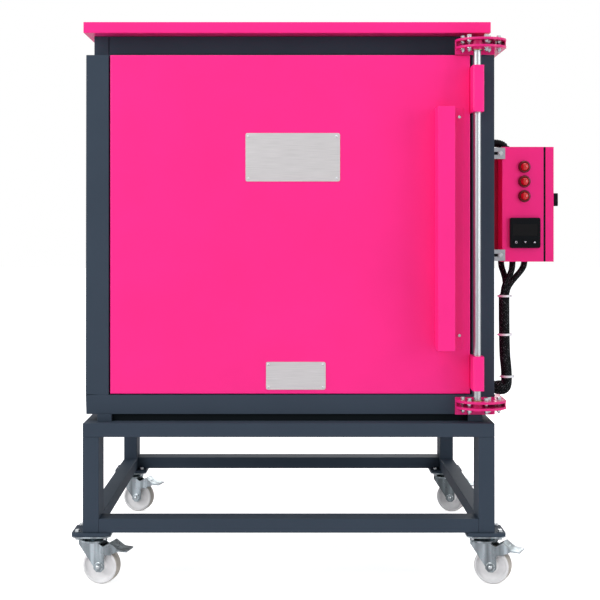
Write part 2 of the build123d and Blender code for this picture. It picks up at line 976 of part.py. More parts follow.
def hinge_bracket_top():
    """Bracket over the leaf, against the post's front and wrapped round its side."""
    post_left = body_right - post_w
    tail_y = body_front + top_tail
    back = [
        (bracket_right, bracket_shoulder), (bracket_right, tail_y), (body_right, tail_y),
        (body_right, body_front), (post_left, body_front), (post_left, surround_front),
    ]
    z1 = top_bracket_z + top_bracket_pitch + bracket_t
    bracket = hinge_bracket(top_bracket_z, top_bracket_pitch, surround_top, z1, back)
    bore_z0 = top_bracket_z - boss_drop
    return bracket - post_of_sides(rod_d + 2 * bush_t, boss_sides, hinge_x, 0, bore_z0, z1)


def hinge_bracket_low():
    """Bracket under the leaf, on the sill's face and wrapped round its end."""
    tail_y = body_front + low_tail
    back = [
        (bracket_right, bracket_shoulder), (bracket_right, tail_y), (body_right, tail_y),
        (body_right, body_front), (surround_right, body_front), (surround_right, surround_front),
    ]
    top = low_bracket_z + low_bracket_pitch + bracket_t
    bracket = hinge_bracket(low_bracket_z, low_bracket_pitch, body_z, top + web_proud, back)
    bush_d = rod_d + 2 * bush_t
    return bracket - post_of_sides(bush_d, boss_sides, hinge_x, 0, low_bracket_z, top)


def bush(z0, z1, flange_z, flange_side):
    """Plain bush with a thin flange on one end."""
    piece = post_of_sides(rod_d + 2 * bush_t, boss_sides, hinge_x, 0, z0, z1)
    a, b = span(flange_z, flange_side, bush_flange)
    piece += post_of_sides(boss_d, boss_sides, hinge_x, 0, a, b)
    low = min(z0, a)
    high = max(z1, b)
    return piece - rod(rod_d / 2 + running_gap, hinge_x, 0, low, high)


def hinge_bushes():
    """Bronze bushes pressed into the bosses of the two brackets."""
    low_top = low_bracket_z + low_bracket_pitch + bracket_t
    high_top = top_bracket_z + top_bracket_pitch + bracket_t
    upper_z = top_bracket_z - boss_drop
    lower = bush(low_bracket_z, low_top, low_top, 1)
    upper = bush(upper_z, high_top, upper_z, -1)
    return [lower, upper]


def hinge_rod():
    """Bright rod that turns with the door and stands in the lower bracket's blind boss."""
    z1 = top_bracket_z + top_bracket_pitch + bracket_t
    return rod(rod_d / 2, hinge_x, 0, low_bracket_z, z1)


def door_knuckles():
    """Square blocks clamped on the rod, each with a lug along the leaf's edge."""
    pieces = []
    top_z = leaf_top - top_knuckle_drop - top_knuckle_h
    for z0, height in ((top_z, top_knuckle_h), (leaf_z + low_knuckle_up, low_knuckle_h)):
        z1 = z0 + height
        front = knuckle_back - knuckle_d
        x0 = hinge_x - knuckle_w / 2
        x1 = hinge_x + knuckle_w / 2
        piece = block(x0, x1, front, knuckle_back, z0, z1)
        piece = chamfer(piece.edges().filter_by(Axis.Z), knuckle_edge)
        reach = surround_front + lug_reach
        piece += block(leaf_right, leaf_right + lug_t, 0, reach, z0, z1)
        pieces.append(piece - rod(rod_d / 2, hinge_x, 0, z0, z1))
    return pieces


def door_shell():
    """Leaf sheet with folded edges and a hole for the element tails."""
    shell = block(leaf_left, leaf_right, surround_front, leaf_back, leaf_z, leaf_top)
    rim = shell.faces().sort_by(Axis.Y)[0].edges()
    shell = fillet(rim, leaf_edge_r)
    shell -= block(
        leaf_left + leaf_t, leaf_right - leaf_t, surround_front + leaf_t, leaf_back,
        leaf_z + leaf_t, leaf_top - leaf_t,
    )
    for z in door_heights():
        hole_d = tail_d + 2 * tail_clear
        y1 = surround_front + leaf_t
        shell -= rod_of_sides(hole_d, element_sides, tail_x_out(), z, surround_front, y1)
    return shell


def tail_x_out():
    """The door tails' place inside the cover on the leaf's front."""
    return cover_left + cover_w / 2


def door_tail_paths():
    """Each door tail goes forward out of the plug, sideways in the board and out of the leaf."""
    turn_y = surround_front + leaf_t + tail_in
    inside_y = plug_face - groove_depth + element_d / 2
    x_in = chamber_right - run_margin / 2
    cover_y = surround_front - cover_depth / 2
    left = chamber_left + run_margin / 2
    paths = []
    heights = door_heights()
    for low, high in zip(heights[0::2], heights[1::2]):
        points = [
            (tail_x_out(), cover_y, low), (tail_x_out(), turn_y, low), (x_in, turn_y, low),
            (x_in, inside_y, low), (left, inside_y, low), (left, inside_y, high),
            (x_in, inside_y, high), (x_in, turn_y, high), (tail_x_out(), turn_y, high),
            (tail_x_out(), cover_y, high),
        ]
        paths.append(points)
    return paths


def door_element():
    """Hairpin elements of the door, from the terminals in the cover and back."""
    return [bar_along(points, tail_d) for points in door_tail_paths()]


def door_board():
    """Fibre board that fills the leaf, with slots for the element tails."""
    board = block(
        leaf_left + leaf_t, leaf_right - leaf_t, surround_front + leaf_t, leaf_back,
        leaf_z + leaf_t, leaf_top - leaf_t,
    )
    half = tail_d / 2 + tail_clear
    x0 = chamber_right - run_margin / 2 - half
    x1 = tail_x_out() + half
    for z in door_heights():
        board -= block(x0, x1, surround_front + leaf_t, leaf_back, z - half, z + half)
    return board


def door_plug():
    """Stepped brick plug: a flange behind the board and a tapered block with grooves."""
    grow_x = mouth_slope_x * plug_depth + plug_flange
    grow_z = mouth_slope_z * plug_depth + plug_flange
    flange_back = leaf_back + plug_flange_t
    plug = block(
        chamber_left - grow_x, chamber_right + grow_x, leaf_back, flange_back,
        hearth_z - grow_z, chamber_top + grow_z,
    )
    depth = plug_face - flange_back
    mid_z = (hearth_z + chamber_top) / 2
    faces = []
    for y, reach in ((flange_back, depth), (plug_face, 0)):
        width = chamber_w + 2 * (mouth_slope_x * reach - plug_gap)
        height = chamber_h + 2 * (mouth_slope_z * reach - plug_gap)
        plane = Plane((body_mid, y, mid_z), x_dir=(1, 0, 0), z_dir=(0, -1, 0))
        faces.append(plane * Rectangle(width, height))
    plug += loft(faces)
    half = groove_w / 2
    x0 = chamber_left + run_margin / 2 - half
    x1 = chamber_right - run_margin / 2 + half
    y0 = plug_face - groove_depth
    heights = door_heights()
    for z in heights:
        plug -= block(x0, x1, y0, plug_face, z - half, z + half)
        hole_x = chamber_right - run_margin / 2
        plug -= rod_of_sides(tail_d + 2 * tail_fit, element_sides, hole_x, z, leaf_back, y0)
    for low, high in zip(heights[0::2], heights[1::2]):
        plug -= block(x0, x0 + groove_w, y0, plug_face, low, high)
    return plug


def door_seal():
    """Square fibre rope on the plug's flange that meets the collar all round."""
    y0 = leaf_back + plug_flange_t
    y1 = body_front - seal_gap
    grow_x = mouth_slope_x * plug_depth + plug_flange - seal_inset
    grow_z = mouth_slope_z * plug_depth + plug_flange - seal_inset
    x0 = chamber_left - grow_x
    x1 = chamber_right + grow_x
    z0 = hearth_z - grow_z
    z1 = chamber_top + grow_z
    seal = block(x0, x1, y0, y1, z0, z1)
    seal -= block(x0 + seal_w, x1 - seal_w, y0, y1, z0 + seal_w, z1 - seal_w)
    return seal


def terminal_cover():
    """Closed channel over the door's terminals with a screw flange along one side."""
    x0 = cover_left
    x1 = cover_left + cover_w
    y0 = surround_front - cover_depth
    z1 = cover_z + cover_h
    cover = block(x0, x1, y0, surround_front, cover_z, z1)
    cover -= block(x0 + cover_t, x1 - cover_t, y0 + cover_t, surround_front,
                   cover_z + cover_t, z1 - cover_t)
    cover += block(x1 - cover_t, x1 + cover_flange, surround_front - cover_t, surround_front,
                   cover_z, z1)
    return cover


def box_standoff():
    """Folded channel that holds the control box off the body's side."""
    y0 = box_front + standoff_in
    y1 = y0 + standoff_d
    z0 = box_z + standoff_margin
    z1 = box_top - standoff_margin
    channel = block(skin_right, box_left, y0, y1, z0, z1)
    return channel - block(skin_right + box_t, box_left - box_t, y0 + box_t, y1 - box_t, z0, z1)


def box_brackets():
    """Two angle brackets from the body's side to the box's front."""
    pieces = []
    y1 = box_front
    y0 = y1 - l_bracket_t
    x1 = box_left + l_bracket_lap
    for z0 in (box_z + l_bracket_in, box_top - l_bracket_in - l_bracket_h):
        z1 = z0 + l_bracket_h
        angle = block(skin_right, x1, y0, y1, z0, z1)
        angle += block(skin_right, skin_right + l_bracket_t, y0, y0 + l_bracket_leg, z0, z1)
        slot_x = (skin_right + x1) / 2 + slot_out
        slot_z = (z0 + z1) / 2
        slot = extrude(Plane.XZ * Rectangle(slot_l, slot_w), l_bracket_t)
        pieces.append(angle - Pos(slot_x, y1, slot_z) * slot)
    return pieces


def lamp_heights():
    return [box_top - lamp_drop - i * lamp_pitch for i in range(lamp_count)]


def box_route(offsets):
    """A cable's route, counted from the box's corner."""
    return [(box_left + x, box_front + y, box_z + z) for x, y, z in offsets]


def whip_places():
    """Give the place of each whip in the box's floor."""
    return [box_route(offsets)[0][:2] for offsets in whip_routes]


def box_shell():
    """Case of five sheets, open towards the right, with the lip that its lock goes behind."""
    inner_x = box_left + box_t
    inner_y = box_front + box_t
    back_y = box_back - box_t
    left = block(box_left, inner_x, box_front, box_back, box_z, box_top)
    top = block(inner_x, box_right, inner_y, back_y, box_top - box_t, box_top)
    lip_x = box_right - lip_t
    half = lip_h / 2
    lip = block(lip_x, box_right, inner_y, inner_y + lip_w, lock_z - half, lock_z + half)
    return [left, top, lip, box_front_sheet(), box_back_sheet(), box_floor_sheet()]


def box_front_sheet():
    """The case's front, with round holes for the lamps and a square one for the controller."""
    inner_y = box_front + box_t
    sheet = block(box_left + box_t, box_right, box_front, inner_y, box_z, box_top)
    for z in lamp_heights():
        hole_d = lamp_stud_d + 2 * cable_fit
        sheet -= rod_of_sides(hole_d, lamp_sides, lamp_x, z, box_front, inner_y)
    half = controller_body / 2 + cable_fit
    sheet -= block(controller_x - half, controller_x + half, box_front, inner_y,
                   controller_mid_z - half, controller_mid_z + half)
    return sheet


def box_floor_sheet():
    """The case's floor, with a hole for each whip."""
    sheet = block(box_left + box_t, box_right, box_front + box_t, box_back - box_t,
                  box_z, box_z + box_t)
    for x, y in whip_places():
        sheet -= Pos(x, y, box_z) * extrude(cable_hole(whip_d), box_t)
    return sheet


def box_back_sheet():
    """The case's back, with the fixed half of each hinge and its pin."""
    sheet = block(box_left + box_t, box_right, box_back - box_t, box_back, box_z, box_top)
    axis_x, axis_y = box_hinge()
    for z0 in box_hinge_heights():
        z1 = z0 + box_knuckle_h / 2 - swivel_gap / 2
        strap = block(box_right - box_leaf_w, axis_x, box_back, box_back + box_leaf_t, z0, z1)
        barrel = post_of_sides(box_knuckle_d, fork_sides, axis_x, axis_y, z0, z1)
        pin = rod(box_pin_d / 2, axis_x, axis_y, z1, z0 + box_knuckle_h)
        sheet += strap + barrel + pin
    return sheet


def box_hinge():
    """The hinge line of the box's door, just outside the rear edge."""
    return box_right + box_seam / 2, box_back + box_knuckle_d / 2 + box_hinge_gap


def box_hinge_heights():
    top = box_top - box_knuckle_in - box_knuckle_h
    return box_z + box_knuckle_in, top


def box_door():
    """Shallow folded door with its two hinge leaves and the lock's hole."""
    door = block(box_door_x, box_door_out, box_front, box_back, box_z, box_top)
    door -= block(box_door_x, box_door_out - box_t, box_front + box_t, box_back - box_t,
                  box_z + box_t, box_top - box_t)
    axis_x, axis_y = box_hinge()
    for z0 in box_hinge_heights():
        z2 = z0 + box_knuckle_h / 2 + swivel_gap / 2
        z1 = z0 + box_knuckle_h
        barrel = post_of_sides(box_knuckle_d, fork_sides, axis_x, axis_y, z2, z1)
        leaf_x = box_door_x + box_leaf_w
        strap = block(axis_x, leaf_x, box_back, box_back + box_leaf_t, z2, z1)
        bore = rod(box_pin_d / 2 + running_gap, axis_x, axis_y, z2, z1)
        door += barrel + strap
        door -= bore
    door -= rod_x(lock_d / 2 + running_gap, lock_y, lock_z, box_door_out - box_t, box_door_out)
    return door


def box_lock():
    """Quarter-turn lock: washer, wing, spindle and the cam that goes behind the lip."""
    x0 = box_door_out
    sheet_x = x0 - box_t - lock_nut_gap
    nut_x = sheet_x - lock_nut_t
    washer = many_sided(lock_base_d, lamp_sides)
    face = Plane((x0, lock_y, lock_z), x_dir=(0, 1, 0), z_dir=(1, 0, 0))
    base = extrude(face * washer, lock_base_t)
    wing = block(x0 + lock_base_t, x0 + lock_w, lock_y - lock_y_w / 2, lock_y + lock_y_w / 2,
                 lock_z - lock_h / 2, lock_z + lock_h / 2)
    wing = chamfer(wing.edges().filter_by(Axis.X), lock_r)
    cam_x = box_right - lip_t - cam_gap - cam_t
    cam_reach = sqrt((lock_in - box_t - cam_gap) ** 2 - (cam_w / 2) ** 2)
    spindle = rod_x(lock_d / 2, lock_y, lock_z, nut_x, x0)
    inside = Plane((sheet_x, lock_y, lock_z), x_dir=(0, 1, 0), z_dir=(-1, 0, 0))
    stem = extrude(inside * many_sided(lock_stem_d, element_sides), sheet_x - cam_x)
    nut = extrude(inside * many_sided(lock_base_d, 6), lock_nut_t)
    cam = block(cam_x, cam_x + cam_t, lock_y - cam_w / 2, lock_y + cam_w / 2,
                lock_z - cam_reach, lock_z + cam_w / 2)
    return base + wing + spindle + stem + nut + cam


def mounting_plate():
    """Plate inside the box on four posts."""
    x0 = box_left + box_t
    x1 = x0 + gear_plate_off
    y0 = box_front + gear_plate_in
    y1 = box_back - gear_margin
    z0 = box_z + gear_margin
    z1 = box_top - gear_margin
    plate = block(x1, x1 + gear_plate_t, y0, y1, z0, z1)
    half = gear_post_d / 2
    for y in (y0 + gear_post_in, y1 - gear_post_in):
        for z in (z0 + gear_post_in, z1 - gear_post_in):
            plate += block(x0, x1, y - half, y + half, z - half, z + half)
    return plate


def contactors():
    """Switching units in rows of two on the plate, each with a raised middle."""
    x0 = box_left + box_t + gear_plate_off + gear_plate_t
    units = []
    for i in range(3):
        y0 = box_front + contactor_in + (i % 2) * (contactor_w + contactor_gap)
        y1 = y0 + contactor_w
        z1 = box_top - contactor_top - (i // 2) * (contactor_h + contactor_row)
        z0 = z1 - contactor_h
        low = block(x0, x0 + contactor_low_d, y0, y1, z0, z1)
        high = block(x0, x0 + contactor_d, y0 + contactor_side, y1 - contactor_side,
                     z0 + contactor_step, z1 - contactor_step)
        units.append(low + high)
    return units


def lamp_bezels():
    """Lamp bodies through the box's front with a wide outer ring."""
    ring_y = box_front - lamp_ring
    pieces = []
    for z in lamp_heights():
        ring = rod_of_sides(lamp_d, lamp_sides, lamp_x, z, ring_y, box_front)
        rim = ring.faces().sort_by(Axis.Y)[0].edges()
        ring = chamfer(rim, lamp_edge)
        stud = rod_of_sides(lamp_stud_d, lamp_sides, lamp_x, z, box_front, box_front + lamp_stud)
        seat = rod_of_sides(lens_d, lamp_sides, lamp_x, z, ring_y, ring_y + seat_t)
        pieces.append(ring + stud - seat)
    return pieces


def lamp_lenses():
    """Lenses seated in the lamps' rings, each a disc under a dome of flat slopes."""
    disc = extrude(many_sided(lens_d, lamp_sides), seat_t)
    dome = extrude(many_sided(lens_d, lamp_sides), lens_rise, taper=lens_slope)
    lens = disc + Pos(0, 0, seat_t) * dome
    seat_y = box_front - lamp_ring + seat_t
    return [Pos(lamp_x, seat_y, z) * Rot(90, 0, 0) * lens for z in lamp_heights()]


def key_xs():
    first = controller_x - key_pitch * (key_count - 1) / 2
    return [first + i * key_pitch for i in range(key_count)]


def controller_case():
    """Panel instrument: rounded front frame, recessed window, key wells and rear body."""
    y0 = box_front - controller_bezel
    front = extrude(Plane.XZ * RectangleRounded(controller_w, controller_w, controller_r),
                    controller_bezel)
    case = Pos(controller_x, box_front, controller_mid_z) * front
    half = controller_body / 2
    case += block(controller_x - half, controller_x + half, box_front,
                  box_front + controller_body_d, controller_mid_z - half, controller_mid_z + half)
    side = half - window_side
    case -= block(controller_x - side, controller_x + side, y0, y0 + window_t,
                  controller_mid_z - window_low, controller_mid_z + half - window_top)
    well_y = y0 + key_t - key_proud + key_travel + key_gap
    z = controller_mid_z - key_below
    for x in key_xs():
        case -= block(x - key_w / 2 - key_gap, x + key_w / 2 + key_gap, y0, well_y,
                      z - key_h / 2 - key_gap, z + key_h / 2 + key_gap)
    return case


def controller_key(x):
    """One push key in its well."""
    y0 = box_front - controller_bezel - key_proud
    z = controller_mid_z - key_below
    return block(x - key_w / 2, x + key_w / 2, y0, y0 + key_t, z - key_h / 2, z + key_h / 2)


def cable_loom():
    """Three sleeved whips out of the box and the trunk that takes them into the side."""
    bend = (box_left + elbow_out, trunk_y, elbow_z)
    points = box_route(trunk_route) + [bend, (skin_right, trunk_y, elbow_z)]
    loom = cable(points, trunk_d, "trunk")
    for number, offsets in enumerate(whip_routes):
        loom += cable(box_route(offsets), whip_d, f"whip {number + 1}")
    return loom


def sensor_conduit():
    """Short arched conduit from the body's side into the box's top."""
    down_x = box_left + conduit_out
    points = [
        (skin_right, conduit_y, conduit_z), (down_x, conduit_y, conduit_z),
        (down_x, conduit_y, box_top),
    ]
    path = FilletPolyline(*points, radius=conduit_up - conduit_spare)
    section = many_sided(conduit_d, cable_sides)
    return sweep(Plane(path @ 0, z_dir=path % 0) * section, path=path)


def cable_hole(diameter):
    """The many-sided outline that lets a cable through."""
    return many_sided(diameter + 2 * cable_fit, cable_sides)


def gland(diameter, thick):
    """Six-sided nut round a cable."""
    return extrude(many_sided(diameter + 2 * gland_wall, 6) - cable_hole(diameter), thick)


def cable_glands():
    """Nuts where the cables pass a sheet: in the box's floor and on the body's side."""
    rings = []
    for x, y in whip_places():
        rings.append(Pos(x, y, box_z + box_t) * gland(whip_d, gland_t / 2))
    for d, y, z in ((trunk_d, trunk_y, elbow_z), (conduit_d, conduit_y, conduit_z)):
        wall = Plane((skin_right, y, z), x_dir=(0, 0, 1), z_dir=(1, 0, 0))
        rings.append(wall * gland(d, gland_t))
    return rings


def cable_ties():
    """Flat ties round the trunk, each with its locking head."""
    ties = []
    for out, up in tie_places:
        trunk_x = box_left + out
        z0 = box_z + up - tie_h / 2
        z1 = z0 + tie_h
        ring = many_sided(trunk_d + 2 * tie_wall, cable_sides) - cable_hole(trunk_d)
        band = Pos(trunk_x, trunk_y, z0) * extrude(ring, tie_h)
        reach = trunk_d / 2 + tie_wall
        head_x = trunk_x + reach - tie_wall / 2
        band += block(head_x, head_x + tie_head, trunk_y - tie_head, trunk_y + tie_head, z0, z1)
        ties.append(band)
    return ties


# All nodes by name
nodes = {
    "stand_legs": stand_legs(),
    "stand_cross_rails": stand_cross_rails(),
    "stand_side_rails": stand_side_rails(),
    "caster_pads": caster_pads(),
    "caster_plates": caster_plates(),
    "plinth_runners": plinth_runners(),
    "body_frame": body_frame(),
    "top_rails": top_rails(),
    "door_surround": door_surround(),
    "lid_panel": lid_panel(),
    "side_skins": side_skins(),
    "back_skin": back_skin(),
    "wool_backing": wool_backing(),
    "brick_walls": brick_walls(),
    "brick_roof": brick_roof(),
    "brick_hearth": brick_hearth(),
    "wall_elements": wall_elements(),
    "element_terminals": element_terminals(),
    "thermocouple": thermocouple(),
    "hinge_bracket_top": hinge_bracket_top(),
    "hinge_bracket_low": hinge_bracket_low(),
    "hinge_bushes": hinge_bushes(),
    "hinge_rod": hinge_rod(),
    "door_knuckles": door_knuckles(),
    "door_shell": door_shell(),
    "door_board": door_board(),
    "door_plug": door_plug(),
    "door_seal": door_seal(),
    "door_element": door_element(),
    "terminal_cover": terminal_cover(),
    "box_standoff": box_standoff(),
    "box_brackets": box_brackets(),
    "box_shell": box_shell(),
    "box_door": box_door(),
    "box_lock": box_lock(),
    "mounting_plate": mounting_plate(),
    "contactors": contactors(),
    "lamp_bezels": lamp_bezels(),
    "lamp_lenses": lamp_lenses(),
    "controller_case": controller_case(),
    "cable_glands": cable_glands(),
    "cable_loom": cable_loom(),
    "cable_ties": cable_ties(),
    "sensor_conduit": sensor_conduit(),
}
for key_name, key_x in zip(("key_set", "key_down", "key_up"), key_xs()):
    nodes[key_name] = controller_key(key_x)
for place, (x, y, turn) in caster_places().items():
    stance = Pos(x, y, 0) * Rot(0, 0, -turn)
    nodes[f"caster_fork_{place}"] = stance * caster_fork()
    nodes[f"caster_wheel_{place}"] = stance * caster_wheel()
    nodes[f"caster_pedal_{place}"] = stance * caster_pedal()

# The row's origin is on the floor under the middle of the whole object
left_end = stand_left + leg_w / 2 - plate_x / 2
right_end = box_door_out + lock_w
front_end = surround_front - cover_depth
back_end = body_back + lid_back_over
to_origin = Pos(-(left_end + right_end) / 2, -(front_end + back_end) / 2, 0)
print("origin shift", -(left_end + right_end) / 2, -(front_end + back_end) / 2)

os.makedirs("parts", exist_ok=True)
for name, pieces in nodes.items():
    if not isinstance(pieces, list):
        pieces = [pieces]
    solids = [solid for piece in pieces for solid in (to_origin * piece).solids()]
    shape = solids[0] if len(solids) == 1 else Compound(children=solids)
    shape.label = name
    export_step(shape, f"parts/{name}.step")
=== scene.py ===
# %% [markdown]
# # A front-loading ceramic kiln on a rolling stand
#
# The kiln's solids come ready made: sheets, bricks, tubes and casters, each already in
# its place. This lesson gives them their paint, zinc and brick, and adds the small things
# that a solid model leaves out, such as bolts, plates, wound wire and braided sleeves.
# Every new surface is worked out with numpy as whole arrays of points, because a shape
# that is a formula can be made finer or coarser by one number.

# %% Load the solids
from math import cos, pi, radians, sin

import bpy
import numpy as np
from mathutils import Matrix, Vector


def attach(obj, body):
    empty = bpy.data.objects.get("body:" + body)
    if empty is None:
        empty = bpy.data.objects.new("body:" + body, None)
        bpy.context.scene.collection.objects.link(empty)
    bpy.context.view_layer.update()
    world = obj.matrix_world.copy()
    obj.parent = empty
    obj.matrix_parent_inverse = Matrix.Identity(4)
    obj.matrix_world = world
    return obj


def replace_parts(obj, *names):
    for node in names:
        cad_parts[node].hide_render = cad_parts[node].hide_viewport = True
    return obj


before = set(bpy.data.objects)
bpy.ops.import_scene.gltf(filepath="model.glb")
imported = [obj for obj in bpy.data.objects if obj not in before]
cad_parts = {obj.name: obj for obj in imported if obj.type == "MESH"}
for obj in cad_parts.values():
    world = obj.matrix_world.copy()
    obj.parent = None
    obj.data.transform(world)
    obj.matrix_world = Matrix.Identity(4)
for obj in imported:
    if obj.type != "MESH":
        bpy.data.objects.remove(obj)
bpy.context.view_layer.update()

# %% [markdown]
# The kiln was measured in millimetres from the middle of the stand's front edge. The
# loaded solids count metres from the floor under the middle of the whole object. One
# helper turns the first into the second, so the numbers below stay the ones on the drawing.

# %% From the drawing to the scene
drawing_zero = np.array([86.825, 418.0, 0.0])


def drawn(points):
    """Millimetres of the drawing to metres of the scene: take the shift off, divide by 1000."""
    return (np.asarray(points, float) - drawing_zero) / 1000


print("the drawing's zero is at", drawn([0, 0, 0]))

# %% [markdown]
# ## The camera
#
# Upright edges stay parallel in the picture, so the camera looks level and the picture is
# shifted on the sensor instead of tilting the lens. The vanishing point lies a little to
# the left of the middle and well above it, which gives both shifts.

# %% Camera
camera_data = bpy.data.cameras.new("camera")
camera_data.lens = 84
camera_data.sensor_width = 36
camera_data.shift_x = 0.02
camera_data.shift_y = -0.1325
camera = bpy.data.objects.new("camera", camera_data)
camera.location = drawn([0, -3052, 799])
camera.rotation_euler = (radians(90), 0, 0)
bpy.context.scene.collection.objects.link(camera)
bpy.context.scene.camera = camera
bpy.context.scene.view_settings.view_transform = "Standard"
print("camera", tuple(round(v, 3) for v in camera.location))

# %% [markdown]
# ## Sky and lamps
#
# The sky lights the surfaces with a plain cool grey. A ray from the camera, a mirrored
# ray and one that comes through something clear all find white instead, so the picture
# has a white background and the metal mirrors that same white.

# %% Sky
def worked_out(net, operation, first, second):
    """A value that a net works out from two others: the larger one, their sum or their product."""
    worker = net.nodes.new("ShaderNodeMath")
    worker.operation = operation
    net.links.new(first, worker.inputs[0])
    net.links.new(second, worker.inputs[1])
    return worker.outputs[0]


world = bpy.data.worlds.new("studio")
world.use_nodes = True
bpy.context.scene.world = world
sky = world.node_tree
sky_light = sky.nodes["Background"]
sky_light.inputs["Color"].default_value = (0.84, 0.87, 0.92, 1)
sky_light.inputs["Strength"].default_value = 0.66
sky_white = sky.nodes.new("ShaderNodeBackground")
sky_white.inputs["Color"].default_value = (1, 1, 1, 1)
rays = sky.nodes.new("ShaderNodeLightPath")
mirrored = worked_out(sky, "MAXIMUM", rays.outputs["Is Glossy Ray"], rays.outputs["Is Transmission Ray"])
seen = worked_out(sky, "MAXIMUM", rays.outputs["Is Camera Ray"], mirrored)
choice = sky.nodes.new("ShaderNodeMixShader")
sky.links.new(seen, choice.inputs[0])
sky.links.new(sky_light.outputs[0], choice.inputs[1])
sky.links.new(sky_white.outputs[0], choice.inputs[2])
sky.links.new(choice.outputs[0], sky.nodes["World Output"].inputs["Surface"])
print("sky of", len(sky.nodes), "nodes")

# %% [markdown]
# Large lamps make soft edges to the shadows. The key lamp stands at the front left and
# the fill at the front right, a tall narrow lamp grazes the left side, and two more keep
# the top and the back from going dull.

# %% Lamps
def soft_lamp(name, place, aim, wide, tall, watts):
    """A flat soft lamp, turned so that it looks from its place at its aim, all in metres."""
    data = bpy.data.lights.new(name, "AREA")
    data.shape = "RECTANGLE"
    data.size = wide
    data.size_y = tall
    data.energy = watts
    lamp = bpy.data.objects.new(name, data)
    lamp.location = place
    way = Vector(aim) - Vector(place)
    lamp.rotation_euler = way.to_track_quat("-Z", "Y").to_euler()
    bpy.context.scene.collection.objects.link(lamp)
    print(name, watts, "watts")


soft_lamp("key_lamp", (-2.7, -2.5, 2.2), aim=(0, 0, 0.6), wide=2.6, tall=2.6, watts=66)
soft_lamp("fill_lamp", (3.1, -2.3, 1.3), aim=(0.2, 0, 0.5), wide=2.0, tall=2.0, watts=47)
soft_lamp("side_lamp", (-3.3, -0.6, 1.2), aim=(0, -0.4, 0.6), wide=0.5, tall=2.2, watts=22)
soft_lamp("top_lamp", (0, -0.6, 3.2), aim=(0, 0, 0.6), wide=2.6, tall=1.4, watts=25)
soft_lamp("back_lamp", (0.6, 3.0, 1.8), aim=(0, 0, 0.6), wide=2.0, tall=2.0, watts=30)

# %% [markdown]
# ## Tools for surfaces
#
# A surface is a grid of points, and its faces join each point to its neighbours. The
# tools below make the faces of any grid, join points that fall together, spin a profile,
# lift an outline, and carry a round section along a line.

# %% Faces of a grid
def grid_quads(rows, cols):
    """Point (i, j) joins (i, j+1), (i+1, j+1) and (i+1, j), and the last column joins the first."""
    i, j = np.meshgrid(np.arange(rows - 1), np.arange(cols), indexing="ij")
    after = (j + 1) % cols
    corners = (i * cols + j, i * cols + after, (i + 1) * cols + after, (i + 1) * cols + j)
    return np.stack(corners, -1).reshape(-1, 4)


def welded(points, quads):
    """Join points within a hundredth of a millimetre, and drop the sides that shrink to nothing."""
    whole = np.round(points * 1e5).astype(np.int64)
    first, back = np.unique(whole, axis=0, return_index=True, return_inverse=True)[1:]
    quads = back.reshape(-1)[quads]
    same = quads == np.roll(quads, -1, axis=1)
    faces = quads[same.sum(1) == 0].tolist()
    for side in range(4):
        pinched = quads[same[:, side] & (same.sum(1) == 1)]
        faces += np.delete(pinched, side, axis=1).tolist()
    return points[first], faces


print("a closed grid of 3 by 4 has", len(grid_quads(3, 4)), "faces")

# %% Spun and lifted shapes
def spun(profile, sides):
    """Carry a profile of radii r and heights h round Z: at angle a the point is r cos a, r sin a, h."""
    r, h = np.asarray(profile, float).T / 1000
    a = np.arange(sides) * 2 * pi / sides
    level = np.repeat(h[:, None], sides, 1)
    rings = np.stack([np.outer(r, np.cos(a)), np.outer(r, np.sin(a)), level], -1)
    return welded(rings.reshape(-1, 3), grid_quads(len(r), sides))


def lifted(outline, low, high):
    """Carry a flat outline in millimetres from one height to another, with a face at each end."""
    flat = np.asarray(outline, float) / 1000
    n = len(flat)
    rings = [np.column_stack([flat, np.full(n, z / 1000)]) for z in (low, high)]
    ends = [list(range(n))[::-1], list(range(n, 2 * n))]
    return np.vstack(rings), grid_quads(2, n).tolist() + ends


def rounded_outline(width, depth, radius, steps=5):
    """A rectangle with quarter circles: each corner's centre plus radius times cos and sin."""
    a = (np.arange(4)[:, None] * 90 + np.linspace(0, 90, steps)) * pi / 180
    x = np.array([1, -1, -1, 1])[:, None] * (width / 2 - radius) + radius * np.cos(a)
    y = np.array([1, 1, -1, -1])[:, None] * (depth / 2 - radius) + radius * np.sin(a)
    return np.column_stack([x.ravel(), y.ravel()])


print("a rounded outline has", len(rounded_outline(10, 10, 2)), "points")

# %% Turned and copied shapes
turns = {
    "-z": ([0, 1, 2], [1, -1, -1]),
    "y": ([0, 2, 1], [1, 1, -1]),
    "-y": ([0, 2, 1], [1, -1, 1]),
    "x": ([2, 1, 0], [1, 1, -1]),
}


def facing(shape, way):
    """Turn a shape that stands along Z to stand along another axis: swap its columns and signs."""
    points, faces = shape
    columns, signs = turns[way]
    return points[:, columns] * signs, faces


def copies(shape, places):
    """Set the same shape down at each place: its points plus the place, its faces counted on."""
    points, faces = shape
    spots = np.asarray(places, float).reshape(-1, 3)
    moved = (spots[:, None] + points[None]).reshape(-1, 3)
    return moved, [[v + k * len(points) for v in face] for k in range(len(spots)) for face in faces]


def together(*shapes):
    """Several shapes as one list of points and one list of faces."""
    points, faces, count = [], [], 0
    for p, f in shapes:
        points.append(p)
        faces += [[v + count for v in face] for face in f]
        count += len(p)
    return np.vstack(points), faces


print("shapes can face", " ".join(turns))

# %% Lines
def length_so_far(line):
    """The length of a line up to each of its points: its steps, added up."""
    return np.concatenate([[0], np.cumsum(np.linalg.norm(np.diff(line, axis=0), axis=1))])


def points_at(line, spots):
    """The points of a line at the given lengths along it."""
    length = length_so_far(line)
    return np.column_stack([np.interp(spots, length, line[:, k]) for k in range(3)])


def evenly(line, step):
    """Points at equal steps along a line."""
    whole = length_so_far(line)[-1]
    return points_at(line, np.linspace(0, whole, max(3, int(whole / step) + 1)))


